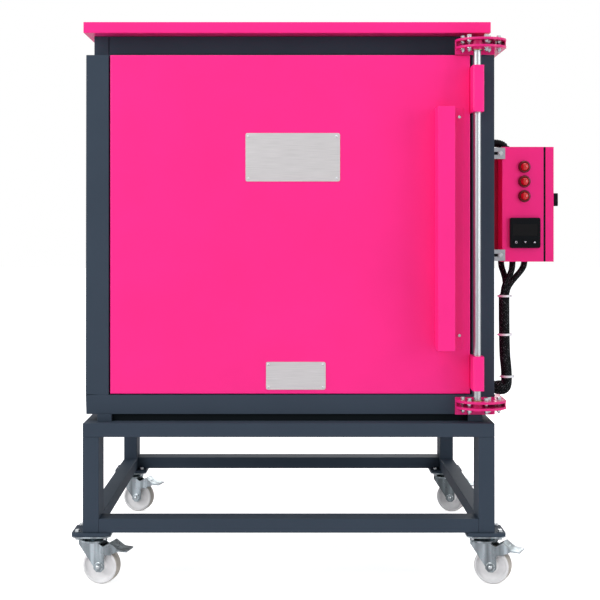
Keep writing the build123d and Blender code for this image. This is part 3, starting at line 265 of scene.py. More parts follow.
def bent(points, reach, step):
    """A stiff wire's line: its corners are quadratic curves, (1-t)^2 a + 2t(1-t) b + t^2 c."""
    p = np.asarray(points, float)
    run = np.linalg.norm(np.diff(p, axis=0), axis=1)
    cut = np.minimum(0.5 * np.minimum(run[:-1], run[1:]), reach)
    b = p[1:-1]
    a = b + (p[:-2] - b) * (cut / run[:-1])[:, None]
    c = b + (p[2:] - b) * (cut / run[1:])[:, None]
    t = np.linspace(0, 1, 13)[None, :, None]
    bends = (1 - t) ** 2 * a[:, None] + 2 * t * (1 - t) * b[:, None] + t ** 2 * c[:, None]
    return evenly(np.vstack([p[:1], bends.reshape(-1, 3), p[-1:]]), step)


def smooth_line(route, step):
    """A route's NURBS curve of order 3, which bends all along, read back as points at equal steps."""
    curve = bpy.data.curves.new("route", "CURVE")
    curve.dimensions = "3D"
    spline = curve.splines.new("NURBS")
    spline.points.add(len(route) - 1)
    spline.points.foreach_set("co", np.column_stack([route, np.ones(len(route))]).ravel())
    spline.order_u = 3
    spline.use_endpoint_u = True
    spline.resolution_u = 24
    holder = bpy.data.objects.new("route", curve)
    mesh = bpy.data.meshes.new_from_object(holder)
    line = np.empty(3 * len(mesh.vertices))
    mesh.vertices.foreach_get("co", line)
    bpy.data.objects.remove(holder)
    bpy.data.curves.remove(curve)
    bpy.data.meshes.remove(mesh)
    return evenly(line.reshape(-1, 3), step)


print("a smooth corner has", len(smooth_line([[0, 0, 0], [9, 0, 0], [9, 9, 0]], 1.5)), "points")

# %% Tubes
def cross_axes(line, up):
    """Two unit axes across the line: the tangent crossed with up, and that crossed with the tangent."""
    ahead = np.gradient(line, axis=0)
    ahead /= np.linalg.norm(ahead, axis=1, keepdims=True)
    side = np.cross(ahead, up)
    side /= np.linalg.norm(side, axis=1, keepdims=True)
    return side, np.cross(side, ahead)


def tube(line, radius, sides, up):
    """A ring at each point of the line: radius times (cos a side + sin a other). Its ends are closed."""
    side, other = cross_axes(line, up)
    a = np.arange(sides) * 2 * pi / sides
    r = np.broadcast_to(np.asarray(radius, float), (len(line), sides))[..., None]
    round_it = side[:, None] * np.cos(a)[None, :, None] + other[:, None] * np.sin(a)[None, :, None]
    points = (line[:, None] + r * round_it).reshape(-1, 3) / 1000
    n = len(line)
    ends = [list(range(sides))[::-1], list(range((n - 1) * sides, n * sides))]
    return points, grid_quads(n, sides).tolist() + ends


print("a short tube has", len(tube(evenly(np.eye(3)[:2], 0.5), 1, 6, [0, 0, 1])[1]), "faces")

# %% [markdown]
# A new piece is a mesh with one finish. It rides on the part that carries it, so it
# moves with the door, the control box or a caster. Edges sharper than 35 degrees stay
# crisp and the rest is shaded smooth.

# %% Make a piece
import bmesh


def piece(name, shape, finish, body, bevel=0.0, crisp=35):
    """Put the arrays into a mesh, turn its faces outward, give it its finish, and hang it on a body."""
    points, faces = shape
    mesh = bpy.data.meshes.new(name)
    mesh.from_pydata(points.tolist(), [], faces)
    work = bmesh.new()
    work.from_mesh(mesh)
    bmesh.ops.recalc_face_normals(work, faces=work.faces)
    work.to_mesh(mesh)
    work.free()
    mesh.polygons.foreach_set("use_smooth", np.ones(len(mesh.polygons), bool))
    mesh.set_sharp_from_angle(angle=radians(crisp))
    mesh.materials.append(finish)
    made = bpy.data.objects.new(name, mesh)
    bpy.context.scene.collection.objects.link(made)
    if bevel:
        edge = made.modifiers.new("edge", "BEVEL")
        edge.width = bevel / 1000
        edge.segments = 2
        edge.limit_method = "ANGLE"
        even = made.modifiers.new("even", "WEIGHTED_NORMAL")
        even.weight = 100
    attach(made, body)
    print(name, len(mesh.polygons), "faces on", body)
    return made


# %% [markdown]
# ## Finishes
#
# Each finish is a small net of nodes on the metre grid of the object itself, so its
# grain has a true size: the paint's orange peel is about a millimetre across, and a
# brick is 23 cm long. A helper makes the empty finish and a few more add noise, a
# choice of colours and a bump.

# %% Noise and ranges
def finish(name, colour, rough, metal=0.0, shine=0.5):
    """An empty finish with its colour, roughness, metal and shine set on the shader itself."""
    made = bpy.data.materials.new(name)
    made.use_nodes = True
    made.diffuse_color = (*colour, 1)
    shader = made.node_tree.nodes["Principled BSDF"]
    shader.inputs["Base Color"].default_value = (*colour, 1)
    shader.inputs["Roughness"].default_value = rough
    shader.inputs["Metallic"].default_value = metal
    shader.inputs["Specular IOR Level"].default_value = shine
    return made


def grid_of(made, stretch=(1, 1, 1)):
    """The object's own metres, stretched where a grain runs one way."""
    nodes, links = made.node_tree.nodes, made.node_tree.links
    where = nodes.new("ShaderNodeTexCoord")
    fit = nodes.new("ShaderNodeMapping")
    fit.inputs["Scale"].default_value = stretch
    links.new(where.outputs["Object"], fit.inputs["Vector"])
    return fit.outputs["Vector"]


def noise(made, scale, detail=2.0, stretch=(1, 1, 1)):
    """Cloudy values from 0 to 1, so many to the metre, with finer clouds added as detail rises."""
    cloud = made.node_tree.nodes.new("ShaderNodeTexNoise")
    cloud.inputs["Scale"].default_value = scale
    cloud.inputs["Detail"].default_value = detail
    made.node_tree.links.new(grid_of(made, stretch), cloud.inputs["Vector"])
    return cloud.outputs["Fac"]


def between(made, value, low, high):
    """The value's middle part, from 0.3 to 0.7, spread from low to high."""
    spread = made.node_tree.nodes.new("ShaderNodeMapRange")
    spread.inputs["From Min"].default_value = 0.3
    spread.inputs["From Max"].default_value = 0.7
    spread.inputs["To Min"].default_value = low
    spread.inputs["To Max"].default_value = high
    made.node_tree.links.new(value, spread.inputs["Value"])
    return spread.outputs["Result"]


print("noise and ranges ready")

# %% Colours and bumps
def feed(made, socket, value):
    """Join a value or colour to the shader."""
    made.node_tree.links.new(value, made.node_tree.nodes["Principled BSDF"].inputs[socket])


def near(colour, share):
    """The same colour, darker or lighter by a share."""
    return tuple(min(1.0, c * share) for c in colour)


def coloured(made, value, stops):
    """Give the surface colours along a value from 0 to 1."""
    ramp = made.node_tree.nodes.new("ShaderNodeValToRGB")
    while len(ramp.color_ramp.elements) < len(stops):
        ramp.color_ramp.elements.new(0.5)
    for element, (at, colour) in zip(ramp.color_ramp.elements, stops):
        element.position = at
        element.color = (*colour, 1)
    made.node_tree.links.new(value, ramp.inputs["Fac"])
    feed(made, "Base Color", ramp.outputs["Color"])


def drifting(made, value, colour, low, high):
    """Let the colour drift along a value: the low share of it up to 0.3, the high share from 0.7."""
    coloured(made, value, [(0.3, near(colour, low)), (0.7, near(colour, high))])


def bumped(made, value, height, strength):
    """Raise the surface by a value times the height in millimetres, softened by a strength below 1."""
    bump = made.node_tree.nodes.new("ShaderNodeBump")
    bump.inputs["Distance"].default_value = height / 1000
    bump.inputs["Strength"].default_value = strength
    made.node_tree.links.new(value, bump.inputs["Height"])
    feed(made, "Normal", bump.outputs["Normal"])


print("half of white is", near((1, 1, 1), 0.5))

# %% [markdown]
# Powder paint is sprayed dry and melted into a skin. It flows into a fine orange peel
# and stays even in colour and gloss. The pink has a thin clear skin over it, so it shines
# a little more where the eye grazes it, while the slate paint is nearly matt.

# %% Powder paints
def powder_coat(name, colour, rough, shine=0.20, skin=0.05):
    """Even paint: 3 percent of colour drift over a hand's width, and a peel of about a millimetre."""
    made = finish(name, colour, rough, 0.0, shine)
    shader = made.node_tree.nodes["Principled BSDF"]
    shader.inputs["Coat Weight"].default_value = skin
    shader.inputs["Coat Roughness"].default_value = 0.25
    drifting(made, noise(made, 7), colour, 0.965, 1.03)
    feed(made, "Roughness", between(made, noise(made, 30, 3), rough - 0.012, rough + 0.012))
    bumped(made, noise(made, 900, 1), 0.03, 0.5)
    return made


pink_coat = powder_coat("pink_powder_coat", (0.865, 0.018, 0.222), 0.36)
# painted shade: the hinge brackets' pink is darker to stand for the shade they lie in
bracket_shade_coat = powder_coat("shaded_pink_powder_coat", (0.68, 0.014, 0.175), 0.34)
# painted shade: dark crimson for the stand-off in the narrow gap between the body and the box
standoff_shade_coat = powder_coat("painted_shade_pink_coat", (0.36, 0.004, 0.055), 0.50)
slate_coat = powder_coat("slate_powder_coat", (0.039, 0.053, 0.073), 0.55, shine=0.04, skin=0.0)
# painted shade: near black for the plinth in the deep shadow under the body
plinth_shade_coat = powder_coat("plinth_painted_shade", (0.006, 0.009, 0.011), 0.60, shine=0.05, skin=0.0)
print("five powder coats")

# %% [markdown]
# Plated steel is bright with a cool tint and faint patches where the crystals of zinc
# lie differently. The casters' forks, pressed from sheet, get broad upright bands of painted
# highlight and painted shade. The hinge rod is drawn and polished, so its marks run round it.

# %% Metals
def plated(name, colour, rough, patch):
    """Metal whose brightness and gloss change from patch to patch, so many patches to the metre."""
    made = finish(name, colour, rough, 1.0)
    cells = made.node_tree.nodes.new("ShaderNodeTexVoronoi")
    cells.inputs["Scale"].default_value = patch
    made.node_tree.links.new(grid_of(made), cells.inputs["Vector"])
    coloured(made, cells.outputs["Distance"], [(0.0, near(colour, 1.06)), (0.8, near(colour, 0.90))])
    feed(made, "Roughness", between(made, noise(made, patch * 0.6, 3), rough - 0.06, rough + 0.10))
    bumped(made, noise(made, 1500, 2), 0.02, 0.3)
    return made


def drawn_metal(name, colour, rough, stretch):
    """Metal with fine marks: noise drawn out along one direction."""
    made = finish(name, colour, rough, 1.0)
    marks = noise(made, 400, 4, stretch)
    drifting(made, marks, colour, 0.86, 1.06)
    feed(made, "Roughness", between(made, marks, rough - 0.05, rough + 0.08))
    bumped(made, marks, 0.01, 0.4)
    return made


def streak_lit_metal(name, colour, rough):
    """Plated metal with broad upright bands of painted highlight and painted shade, as on a curved pressed
    front.
    """
    made = finish(name, colour, rough, 1.0)
    streak_light = noise(made, 55, 2, (1, 1, 0.1))
    # painted highlight and painted shade: the colour runs from 0.55 to 1.7 of itself along the bands
    coloured(made, streak_light, [(0.35, near(colour, 0.55)), (0.52, colour), (0.64, near(colour, 1.7))])
    feed(made, "Roughness", between(made, noise(made, 160, 3), rough - 0.05, rough + 0.08))
    bumped(made, streak_light, 0.4, 0.6)
    return made


fork_zinc = streak_lit_metal("passivated_zinc", (0.27, 0.31, 0.33), 0.30)
bright_zinc = plated("bright_zinc", (0.56, 0.59, 0.61), 0.24, patch=110)
galvanised = plated("galvanised_sheet", (0.36, 0.385, 0.41), 0.36, patch=240)
rod_steel = drawn_metal("polished_rod", (0.42, 0.445, 0.46), 0.36, stretch=(0.4, 0.4, 3))
bearing_bronze = drawn_metal("bearing_bronze", (0.36, 0.26, 0.15), 0.40, stretch=(1, 1, 12))
brushed_plate = drawn_metal("brushed_aluminium", (0.63, 0.61, 0.615), 0.40, stretch=(0.05, 3, 3))
heating_wire = drawn_metal("oxidised_wire", (0.26, 0.22, 0.19), 0.55, stretch=(1, 1, 1))
print("seven metals")

# %% [markdown]
# The chamber is built of light firebrick, a foamed clay cut with a saw: pale buff, full
# of fine holes, in courses with thin joints. Behind it lies white ceramic fibre.

# %% Bricks and fibre
def laid_brick(name, colour, rough):
    """Brick courses of 230 by 76 mm with thin dark joints, laid along x + y and up z, over fine pores."""
    made = finish(name, colour, rough)
    nodes, links = made.node_tree.nodes, made.node_tree.links
    where = nodes.new("ShaderNodeTexCoord")
    apart = nodes.new("ShaderNodeSeparateXYZ")
    links.new(where.outputs["Object"], apart.inputs[0])
    flat = nodes.new("ShaderNodeCombineXYZ")
    along = worked_out(made.node_tree, "ADD", apart.outputs["X"], apart.outputs["Y"])
    links.new(along, flat.inputs["X"])
    links.new(apart.outputs["Z"], flat.inputs["Y"])
    bond = nodes.new("ShaderNodeTexBrick")
    bond.inputs["Scale"].default_value = 1
    bond.inputs["Brick Width"].default_value = 0.230
    bond.inputs["Row Height"].default_value = 0.076
    bond.inputs["Mortar Size"].default_value = 0.0008
    bond.inputs["Mortar Smooth"].default_value = 0.3
    bond.inputs["Color1"].default_value = (*near(colour, 1.04), 1)
    bond.inputs["Color2"].default_value = (*near(colour, 0.93), 1)
    bond.inputs["Mortar"].default_value = (*near(colour, 0.55), 1)
    links.new(flat.outputs[0], bond.inputs["Vector"])
    feed(made, "Base Color", bond.outputs["Color"])
    bumped(made, noise(made, 700, 5), 0.5, 0.6)
    return made


def felted(name, colour, scale):
    """Matt fibres: noise pulled out along X, as a bump and a slight change of colour."""
    made = finish(name, colour, 0.95)
    threads = noise(made, scale, 6, (0.25, 1, 1))
    drifting(made, threads, colour, 0.86, 1.03)
    bumped(made, threads, 0.9, 0.7)
    return made


firebrick = laid_brick("insulating_firebrick", (0.80, 0.70, 0.54), 0.92)
ceramic_fibre = felted("ceramic_fibre", (0.88, 0.87, 0.83), 320)
white_ceramic = felted("white_ceramic", (0.84, 0.81, 0.74), 900)
print("brick, fibre and ceramic")

# %% [markdown]
# The rest is moulded. The wheels are white nylon, a little dirty, and the controller, the
# keys and the lock are black with the fine spark finish of the mould. The lamps' rings are
# dark red, the switching units grey and the cable ties pale.

# %% Mouldings
def moulded(name, colour, rough, grain, drift=0.05, shine=0.4):
    """Plastic with the mould's grain as a fine bump and a slight drift of colour."""
    made = finish(name, colour, rough, 0.0, shine)
    drifting(made, noise(made, 60, 4), colour, 1 - drift, 1 + drift)
    feed(made, "Roughness", between(made, noise(made, 220, 3), rough - 0.05, rough + 0.06))
    bumped(made, noise(made, grain, 2), 0.03, 0.4)
    return made


white_nylon = moulded("white_nylon", (0.72, 0.71, 0.71), 0.42, grain=1200)
darker_tread = moulded("darker_tread", (0.42, 0.385, 0.34), 0.60, grain=800, drift=0.14)
black_plastic = moulded("black_moulding", (0.003, 0.0045, 0.006), 0.42, grain=2400, shine=0.08)
gear_plastic = moulded("switch_gear_grey", (0.50, 0.51, 0.50), 0.45, grain=1800)
tie_plastic = moulded("pale_tie", (0.74, 0.76, 0.78), 0.30, grain=1500)
lamp_ring = moulded("lamp_ring_red", (0.12, 0.002, 0.006), 0.25, grain=3000)
dark_glass = moulded("display_window", (0.002, 0.002, 0.003), 0.12, grain=4000, shine=0.15)
print("seven mouldings")

# %% [markdown]
# A lamp's lens is clear red plastic. A weak red glow is painted into it, so it looks
# brighter than a plain red dome would.

# %% Red lens
lamp_red = moulded("red_lens", (0.50, 0.002, 0.004), 0.20, grain=5000, drift=0.02, shine=0.3)
lens_shader = lamp_red.node_tree.nodes["Principled BSDF"]
lens_shader.inputs["Coat Weight"].default_value = 0.6
lens_shader.inputs["Coat Roughness"].default_value = 0.04
# painted glow: a weak red emission that brightens the lens
lens_shader.inputs["Emission Color"].default_value = (0.9, 0.01, 0.01, 1)
lens_shader.inputs["Emission Strength"].default_value = 0.05
print("red lens")

# %% [markdown]
# ## Dressing the solids
#
# The solids keep their points. Five modifiers make them look made: Weld joins the loose
# triangles, Edge Split parts the solids that only touch along an edge, Decimate turns
# flat patches into single faces, and Bevel rounds each hard edge so that it catches the
# light, as a folded or sawn edge does. Weighted Normal then lets the large faces decide
# the shading, so they look flat right up to their rounded edges.

# %% Dress one solid
def dress(names, made, edge):
    """Give solids a finish and rounded edges of a radius in millimetres."""
    for name in names.split():
        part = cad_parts[name]
        part.data.materials.clear()
        part.data.materials.append(made)
        part.data.polygons.foreach_set("use_smooth", np.ones(len(part.data.polygons), bool))
        join = part.modifiers.new("join", "WELD")
        join.merge_threshold = 0.00001
        apart = part.modifiers.new("apart", "EDGE_SPLIT")
        apart.split_angle = pi
        apart.use_edge_sharp = False
        flat = part.modifiers.new("flat", "DECIMATE")
        flat.decimate_type = "DISSOLVE"
        flat.angle_limit = radians(0.4)
        if edge:
            soft = part.modifiers.new("soft", "BEVEL")
            soft.width = edge / 1000
            soft.segments = 2
            soft.limit_method = "ANGLE"
            soft.angle_limit = radians(30)
            even = part.modifiers.new("even", "WEIGHTED_NORMAL")
            even.weight = 100


dress("lid_panel side_skins back_skin door_shell", pink_coat, 1.6)
# the brackets' darker pink is painted shade
dress("hinge_bracket_top hinge_bracket_low", bracket_shade_coat, 0.9)
dress("door_knuckles", pink_coat, 2.6)
dress("terminal_cover", pink_coat, 2.0)
dress("box_shell box_door", pink_coat, 1.6)
# the stand-off's dark crimson is painted shade
dress("box_standoff", standoff_shade_coat, 1.2)
dress("stand_legs stand_cross_rails stand_side_rails", slate_coat, 2.0)
dress("caster_pads plinth_runners body_frame top_rails door_surround", slate_coat, 1.2)
dress("wool_backing door_board door_seal", ceramic_fibre, 1.0)
dress("brick_walls brick_roof brick_hearth door_plug", firebrick, 1.2)
print("sheets, tubes and bricks dressed")

# %% Dress the fittings
dress("caster_plates", fork_zinc, 0.4)
for place in ("front_left", "front_right", "rear_left", "rear_right"):
    dress("caster_fork_" + place, fork_zinc, 0.8)
    dress("caster_pedal_" + place, fork_zinc, 0.6)
    dress("caster_wheel_" + place, white_nylon, 0.8)
dress("box_brackets mounting_plate", galvanised, 0.3)
dress("hinge_rod", rod_steel, 0.8)
dress("hinge_bushes", bearing_bronze, 0.3)
dress("element_terminals thermocouple", white_ceramic, 0.6)
dress("wall_elements door_element", heating_wire, 0)
dress("contactors", gear_plastic, 0.6)
dress("controller_case key_set key_down key_up cable_glands box_lock", black_plastic, 0.4)
dress("lamp_bezels", lamp_ring, 0.4)
dress("lamp_lenses", lamp_red, 0.6)
dress("cable_ties", tie_plastic, 0.3)
dress("cable_loom sensor_conduit", black_plastic, 0)
print("fittings dressed")

# %% [markdown]
# ## Bolts, nuts and rivets
#
# The brackets, the casters' pads and the control box are held by plated hexagon bolts.
# A bolt is three spun profiles: a washer, a head spun with only six sides, and a shank
# whose radius goes in and out for the thread. One shape is made once and then set down
# at every place.

# %% Bolt shapes
def hex_head(width, high, washer=1.4):
    """Six sides with the top edge cut, on a round washer; the width is across the flats."""
    r = width / 3 ** 0.5
    top = washer + high
    head = spun([(0, washer), (r, washer), (r, washer + 0.8 * high), (0.87 * r, top), (0, top)], 6)
    rim = 0.66 * width
    ring = spun([(0, 0), (0.63 * width, 0), (rim, 0.3), (rim, washer), (0, washer)], 24)
    return together(ring, head)


def shank(radius, low, high):
    """A threaded bar: the radius falls and rises by a third of a millimetre along it."""
    h = np.arange(low, high, 0.5)
    r = radius - 0.33 * (np.arange(len(h)) % 2)
    return spun([(0, low), *zip(r, h), (0, high)], 14)


def dome(radius, high):
    """A cap: at angle a above the rim its radius is r cos a and its height h sin a."""
    a = np.linspace(0, pi / 2, 6)
    return spun([(0, 0), *zip(radius * np.cos(a), high * np.sin(a))], 20)


def cap_screw(radius, high):
    """A round head with a round socket sunk into it."""
    socket = 0.5 * radius
    edge = [(radius, 0), (radius, 0.7 * high), (0.85 * radius, high), (socket, high), (socket, 0.4 * high)]
    return spun([(0, 0), *edge, (0, 0.4 * high)], 18)


def at_height(spots, z):
    """Flat places of the drawing with one height added, in metres."""
    return drawn(np.column_stack([spots, np.full(len(spots), z)]))


print("a bolt head has", len(hex_head(13, 6)[1]), "faces")

# %% [markdown]
# Each hinge bracket is two plates, one above the other. Its bolts go down through both
# and have a nut under each.

# %% Bolts through the hinge brackets
bolt_spots = np.array([(383, 14), (394, -9), (431, -10), (439, 8), (461, 10)], float)
bracket_heights = {"top": (1175.5, 1196.5), "low": (387.0, 406.0)}
bracket_thick = 5
thread_past_nut = 9
bracket_head = hex_head(8.5, 5.6)
bracket_nut = facing(hex_head(8.5, 4.6), "-z")
for bracket, (under, over) in bracket_heights.items():
    bolts = together(
        copies(bracket_head, at_height(bolt_spots, over)),
        copies(bracket_nut, at_height(bolt_spots, over - bracket_thick)),
        copies(bracket_nut, at_height(bolt_spots, under)),
        copies(shank(3, under - thread_past_nut, over), at_height(bolt_spots, 0)),
    )
    piece("bracket_bolts_" + bracket, bolts, bright_zinc, "kiln")

# %% [markdown]
# Each caster hangs under a painted pad, and four bolts come down through the pad and the
# caster's plate. The pads have round corners, so they are lifted from a rounded outline.
# The table gives the place of each caster's upright and how far its fork is turned.

# %% Pads and their bolts
kingpins = {
    "front_left": (-430.25, 42.5, 13),
    "front_right": (433.25, 42.5, 22),
    "rear_left": (-430.25, 812.5, 13),
    "rear_right": (433.25, 812.5, 22),
}
pin_spots = np.array([(x, y) for x, y, turn in kingpins.values()])
pad_under, pad_over, plate_under = 110, 118, 107
pad = lifted(rounded_outline(85, 100, 16, 8), pad_under, pad_over)
pads = piece("rounded_pads", copies(pad, at_height(pin_spots, 0)), slate_coat, "kiln", 1.6)
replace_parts(pads, "caster_pads")
corner_steps = np.array([(30, 33), (-30, 33), (-30, -33), (30, -33)])
pad_spots = (pin_spots[:, None] + corner_steps[None]).reshape(-1, 2)
pad_bolt = hex_head(9, 4.5)
heads = copies(pad_bolt, at_height(pad_spots, pad_over))
nuts = copies(facing(pad_bolt, "-z"), at_height(pad_spots, plate_under))
piece("pad_bolts", together(heads, nuts), bright_zinc, "kiln")

# %% [markdown]
# The body stands on two runners. A low plinth joins them at the front and at the back,
# set in from the edge. Its near-black paint is painted shade, so that only a dark line shows between the
# body and the stand.

# %% Plinth
stand_top, body_under = 356.5, 372
plinth_bar = lifted(rounded_outline(786, 12, 1, 3), stand_top, body_under)
plinth_places = drawn([[4, y, 0] for y in (50, 829)])
piece("plinth_bars", copies(plinth_bar, plinth_places), plinth_shade_coat, "kiln")

# %% [markdown]
# ## Wheels
#
# A wheel is one closed profile spun round its axle: a hub, a dished web and a rounded
# rim. The tread is a second ring in a darker, browner grey. Both are drawn
# from the middle outward on one side only, and the other side is the mirror image.

# %% Wheel profiles
def both_sides(half):
    """A half profile, the same with its heights below zero, and its first point again to close it."""
    return half + [(r, -h) for r, h in half[::-1]] + half[:1]


def turned(shape, degrees):
    """Turn a shape about Z: x becomes x cos t - y sin t, and y becomes x sin t + y cos t."""
    points, faces = shape
    t = radians(degrees)
    return points @ np.array([[cos(t), sin(t), 0], [-sin(t), cos(t), 0], [0, 0, 1]]), faces


wheel_profile = both_sides([
    (6.1, 17.6), (12.6, 17.6), (13.8, 16.6), (14.2, 12.2), (16, 10.4), (24, 9.9),
    (30, 10.6), (32.2, 12.4), (33.4, 14.6), (35, 15.9), (37, 15.5), (38.6, 14.2),
])
tread_profile = both_sides([(38.2, 14.3), (39.2, 13.4), (39.8, 11.8), (40, 9.6)])
washer_profile = [(0, 0), (9.4, 0), (9.6, 0.3), (9.6, 1.2), (9, 1.5), (0, 1.5)]
wheel_ring = facing(spun(wheel_profile, 72), "-y")
tread_ring = facing(spun(tread_profile, 72), "-y")
print("a wheel's profile has", len(wheel_profile), "points")

# %% Ends of an axle
cheek_out, nut_out = 0.0212, 0.0265
axle_ends = together(*(
    copies(facing(shape, way), [0, side * out, 0])
    for shape, out in ((dome(4.6, 3), nut_out), (spun(washer_profile, 30), cheek_out))
    for way, side in (("-y", -1), ("y", 1))
))
print("an axle's ends have", len(axle_ends[1]), "faces")

# %% [markdown]
# The wheel's middle lies behind the caster's upright by the trail, which is what lets a
# caster follow when the kiln is pushed.

# %% Wheels in their forks
wheel_radius, trail = 40, 20
for place, (x, y, turn) in kingpins.items():
    t = radians(turn)
    axle = drawn([x + trail * cos(t), y - trail * sin(t), wheel_radius])
    wheel_shape = copies(turned(wheel_ring, -turn), axle)
    tread_shape = copies(turned(tread_ring, -turn), axle)
    ends_shape = copies(turned(axle_ends, -turn), axle)
    wheel = piece("wheel_" + place, wheel_shape, white_nylon, "caster_wheel_" + place)
    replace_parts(wheel, "caster_wheel_" + place)
    piece("tread_" + place, tread_shape, darker_tread, "caster_wheel_" + place)
    piece("axle_ends_" + place, ends_shape, bright_zinc, "caster_fork_" + place)

# %% [markdown]
# ## The door's front
#
# Two bare plates of brushed aluminium are riveted to the door. The narrow cover over
# the door's terminals is held by small screws along its flange.

# %% Plates, rivets and screws
door_front = 35
plate_thick = 1.2


def riveted_plate(name, left, right, low, high, inset):
    """A plate with round corners on the door's front, and a domed rivet in from each corner."""
    plate = facing(lifted(rounded_outline(right - left, high - low, 4), 0, plate_thick), "-y")
    middle = drawn([(left + right) / 2, door_front, (low + high) / 2])
    piece(name, copies(plate, middle), brushed_plate, "door", 0.3)
    columns, rows = (left + inset, right - inset), (low + inset, high - inset)
    rivet_spots = drawn([[x, door_front - plate_thick, z] for x in columns for z in rows])
    rivets = copies(facing(dome(2.6, 1.3), "-y"), rivet_spots)
    piece(name + "_rivets", rivets, bright_zinc, "door")


riveted_plate("large_plate", left=-93.6, right=114.6, low=885.0, high=991.8, inset=7)
riveted_plate("small_plate", left=-48.5, right=82.9, low=426.0, high=487.3, inset=5.5)
cover_spots = drawn([[377.6, 33.5, z] for z in (545.5, 1027)])
cover_screws = copies(facing(cap_screw(3.4, 1.8), "-y"), cover_spots)
piece("cover_screws", cover_screws, bright_zinc, "door")

# %% [markdown]
# ## Sleeves, trunk and ties
#
# The cables run in black braided sleeving: flat strands that wind both ways round the
# cable and pass over and under each other. Two waves that climb the tube in opposite
# directions give that relief, and the surface follows whichever is higher.

# %% Braid
def crests(line, strands, radius):
    """How high the strands lie, from -1 to 1: the higher of cos k(a + s/r) and cos k(a - s/r)."""
    a = np.arange(strands * 8) * 2 * pi / (strands * 8)
    climb = length_so_far(line)[:, None] / radius
    return np.maximum(np.cos(strands * (a + climb)), np.cos(strands * (a - climb)))


def braided(line, radius, strands, up):
    """A tube whose radius is smaller by 0.3 mm times one less its crest height."""
    crest = crests(line, strands, np.mean(radius))
    wide = np.broadcast_to(np.asarray(radius, float), (len(line),))[:, None]
    return tube(line, wide - 0.3 * (1 - crest), strands * 8, up)


def woven_sleeve(name, dark, bright):
    """Black yarn with painted highlights: lighter on the strands' backs, with painted glint here and there.
    """
    made = finish(name, dark, 0.65, 0.0, 0.03)
    height = made.node_tree.nodes.new("ShaderNodeAttribute")
    height.attribute_name = "weave"
    painted_glints = worked_out(made.node_tree, "MULTIPLY", height.outputs["Fac"], noise(made, 420, 3))
    coloured(made, painted_glints, [(0.0, dark), (0.50, near(dark, 1.3)), (0.62, bright), (1.0, bright)])
    feed(made, "Roughness", between(made, noise(made, 500), 0.5, 0.75))
    return made


def give_weave(made, values):
    """Keep the crest heights, from 0 to 1, on the points of the mesh, for the finish to read."""
    kept = made.data.attributes.new("weave", "FLOAT", "POINT")
    kept.data.foreach_set("value", (0.5 + 0.5 * values).astype(np.float32))


# the second colour is the painted highlight of the braid
black_sleeve = woven_sleeve("black_sleeve", (0.004, 0.005, 0.0055), (0.16, 0.175, 0.185))
print("a sleeve of 8 strands has", crests(np.eye(3), 8, 1).shape[1], "points round it")

# %% [markdown]
# Three cables come out of the control box's floor through glands and draw together
# under it. Each route is a short list of points from the box's lower left front corner,
# and its curve bends all along, as a stiff cable does.

# %% Whips
box_left, box_front, box_under, box_top = 510.9, 286.0, 700.8, 974.5
box_corner = np.array([box_left, box_front, box_under]) - drawing_zero
whip_routes = (
    [
        (14, 114, 6), (14, 114, -13), (20, 102, -33), (20, 74, -53),
        (15, 50, -74), (12, 45.5, -93), (11, 46, -119),
    ],
    [(33, 54, 6), (33, 54, -15), (27, 52, -33), (15, 48, -53), (9, 44, -75), (8, 42, -101)],
    [(62, 54, 6), (62, 54, -11), (49, 53, -29), (30, 50, -49), (16, 46, -71), (13.5, 42.5, -103)],
)
whip_radius, whip_strands = 7.5, 8
whip_lines = [smooth_line(np.array(route) + box_corner, 0.74) for route in whip_routes]
whip_tubes = together(*(braided(line, whip_radius, whip_strands, [1, 0, 0]) for line in whip_lines))
whip_crests = [crests(line, whip_strands, whip_radius).ravel() for line in whip_lines]
whips = piece("braided_whips", whip_tubes, black_sleeve, "kiln", crisp=180)
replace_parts(whips, "cable_loom")
give_weave(whips, np.concatenate(whip_crests))

# %% [markdown]
# Below the first tie the three cables run in one sleeve, 26 mm thick. Its end under the
# tie is rounded in, and it swells a little after the last tie, where it turns into the
# body. Both are formulas of the share of the length gone by.

# %% Trunk
trunk_route = [
    (11, 44, -79), (11, 44, -215), (17, 44, -262),
    (17, 44, -305), (-5, 44, -305), (-67.9, 44, -299.8),
]
trunk_radius, trunk_strands = 13, 12
trunk_line = smooth_line(np.array(trunk_route) + box_corner, 0.85)
gone_by = np.linspace(0, 1, len(trunk_line))
swell = trunk_radius + 4.2 * np.exp(-((gone_by - 0.775) / 0.05) ** 2)
start = np.clip(gone_by / 0.03, 0, 1)
trunk_round = swell * (0.72 + 0.28 * np.sqrt(start * (2 - start)))
trunk_tube = braided(trunk_line, trunk_round, trunk_strands, [0, 1, 0])
trunk = piece("braided_trunk", trunk_tube, black_sleeve, "kiln", crisp=180)
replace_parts(trunk, "cable_loom")
give_weave(trunk, crests(trunk_line, trunk_strands, trunk_round.mean()).ravel())

# %% [markdown]
# A cable tie is a flat band round the cable, with a square head on one side and the cut
# end of its tail on the other.

# %% Ties
half_band, band_in, band_out = 2.6, 12.6, 14.6
band_profile = [
    (band_in, -half_band), (band_out - 0.2, -half_band), (band_out, 0.4 - half_band),
    (band_out, half_band - 0.4), (band_out - 0.2, half_band), (band_in, half_band), (band_in, -half_band),
]
tie_head = copies(lifted(rounded_outline(5, 7, 1.2), -3.2, 3.2), [0.0162, 0, 0])
tie_tail = copies(lifted(rounded_outline(3.4, 4.6, 0.8), -1.2, 1.2), [-0.0158, 0, 0])
tie = together(spun(band_profile, 48), tie_head, tie_tail)
tie_spots = drawn([(521.9, 330, 616.8), (521.9, 330, 523.8), (527.9, 330, 422.8)])
ties = piece("cable_tie_bands", copies(tie, tie_spots), tie_plastic, "kiln", 0.3)
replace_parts(ties, "cable_ties")

# %% [markdown]
# The lead to the thermocouple leaves the body in a corrugated conduit and bends down
# into the top of the control box. The bend is a quarter of an ellipse, and the radius is a
# wave along the length.

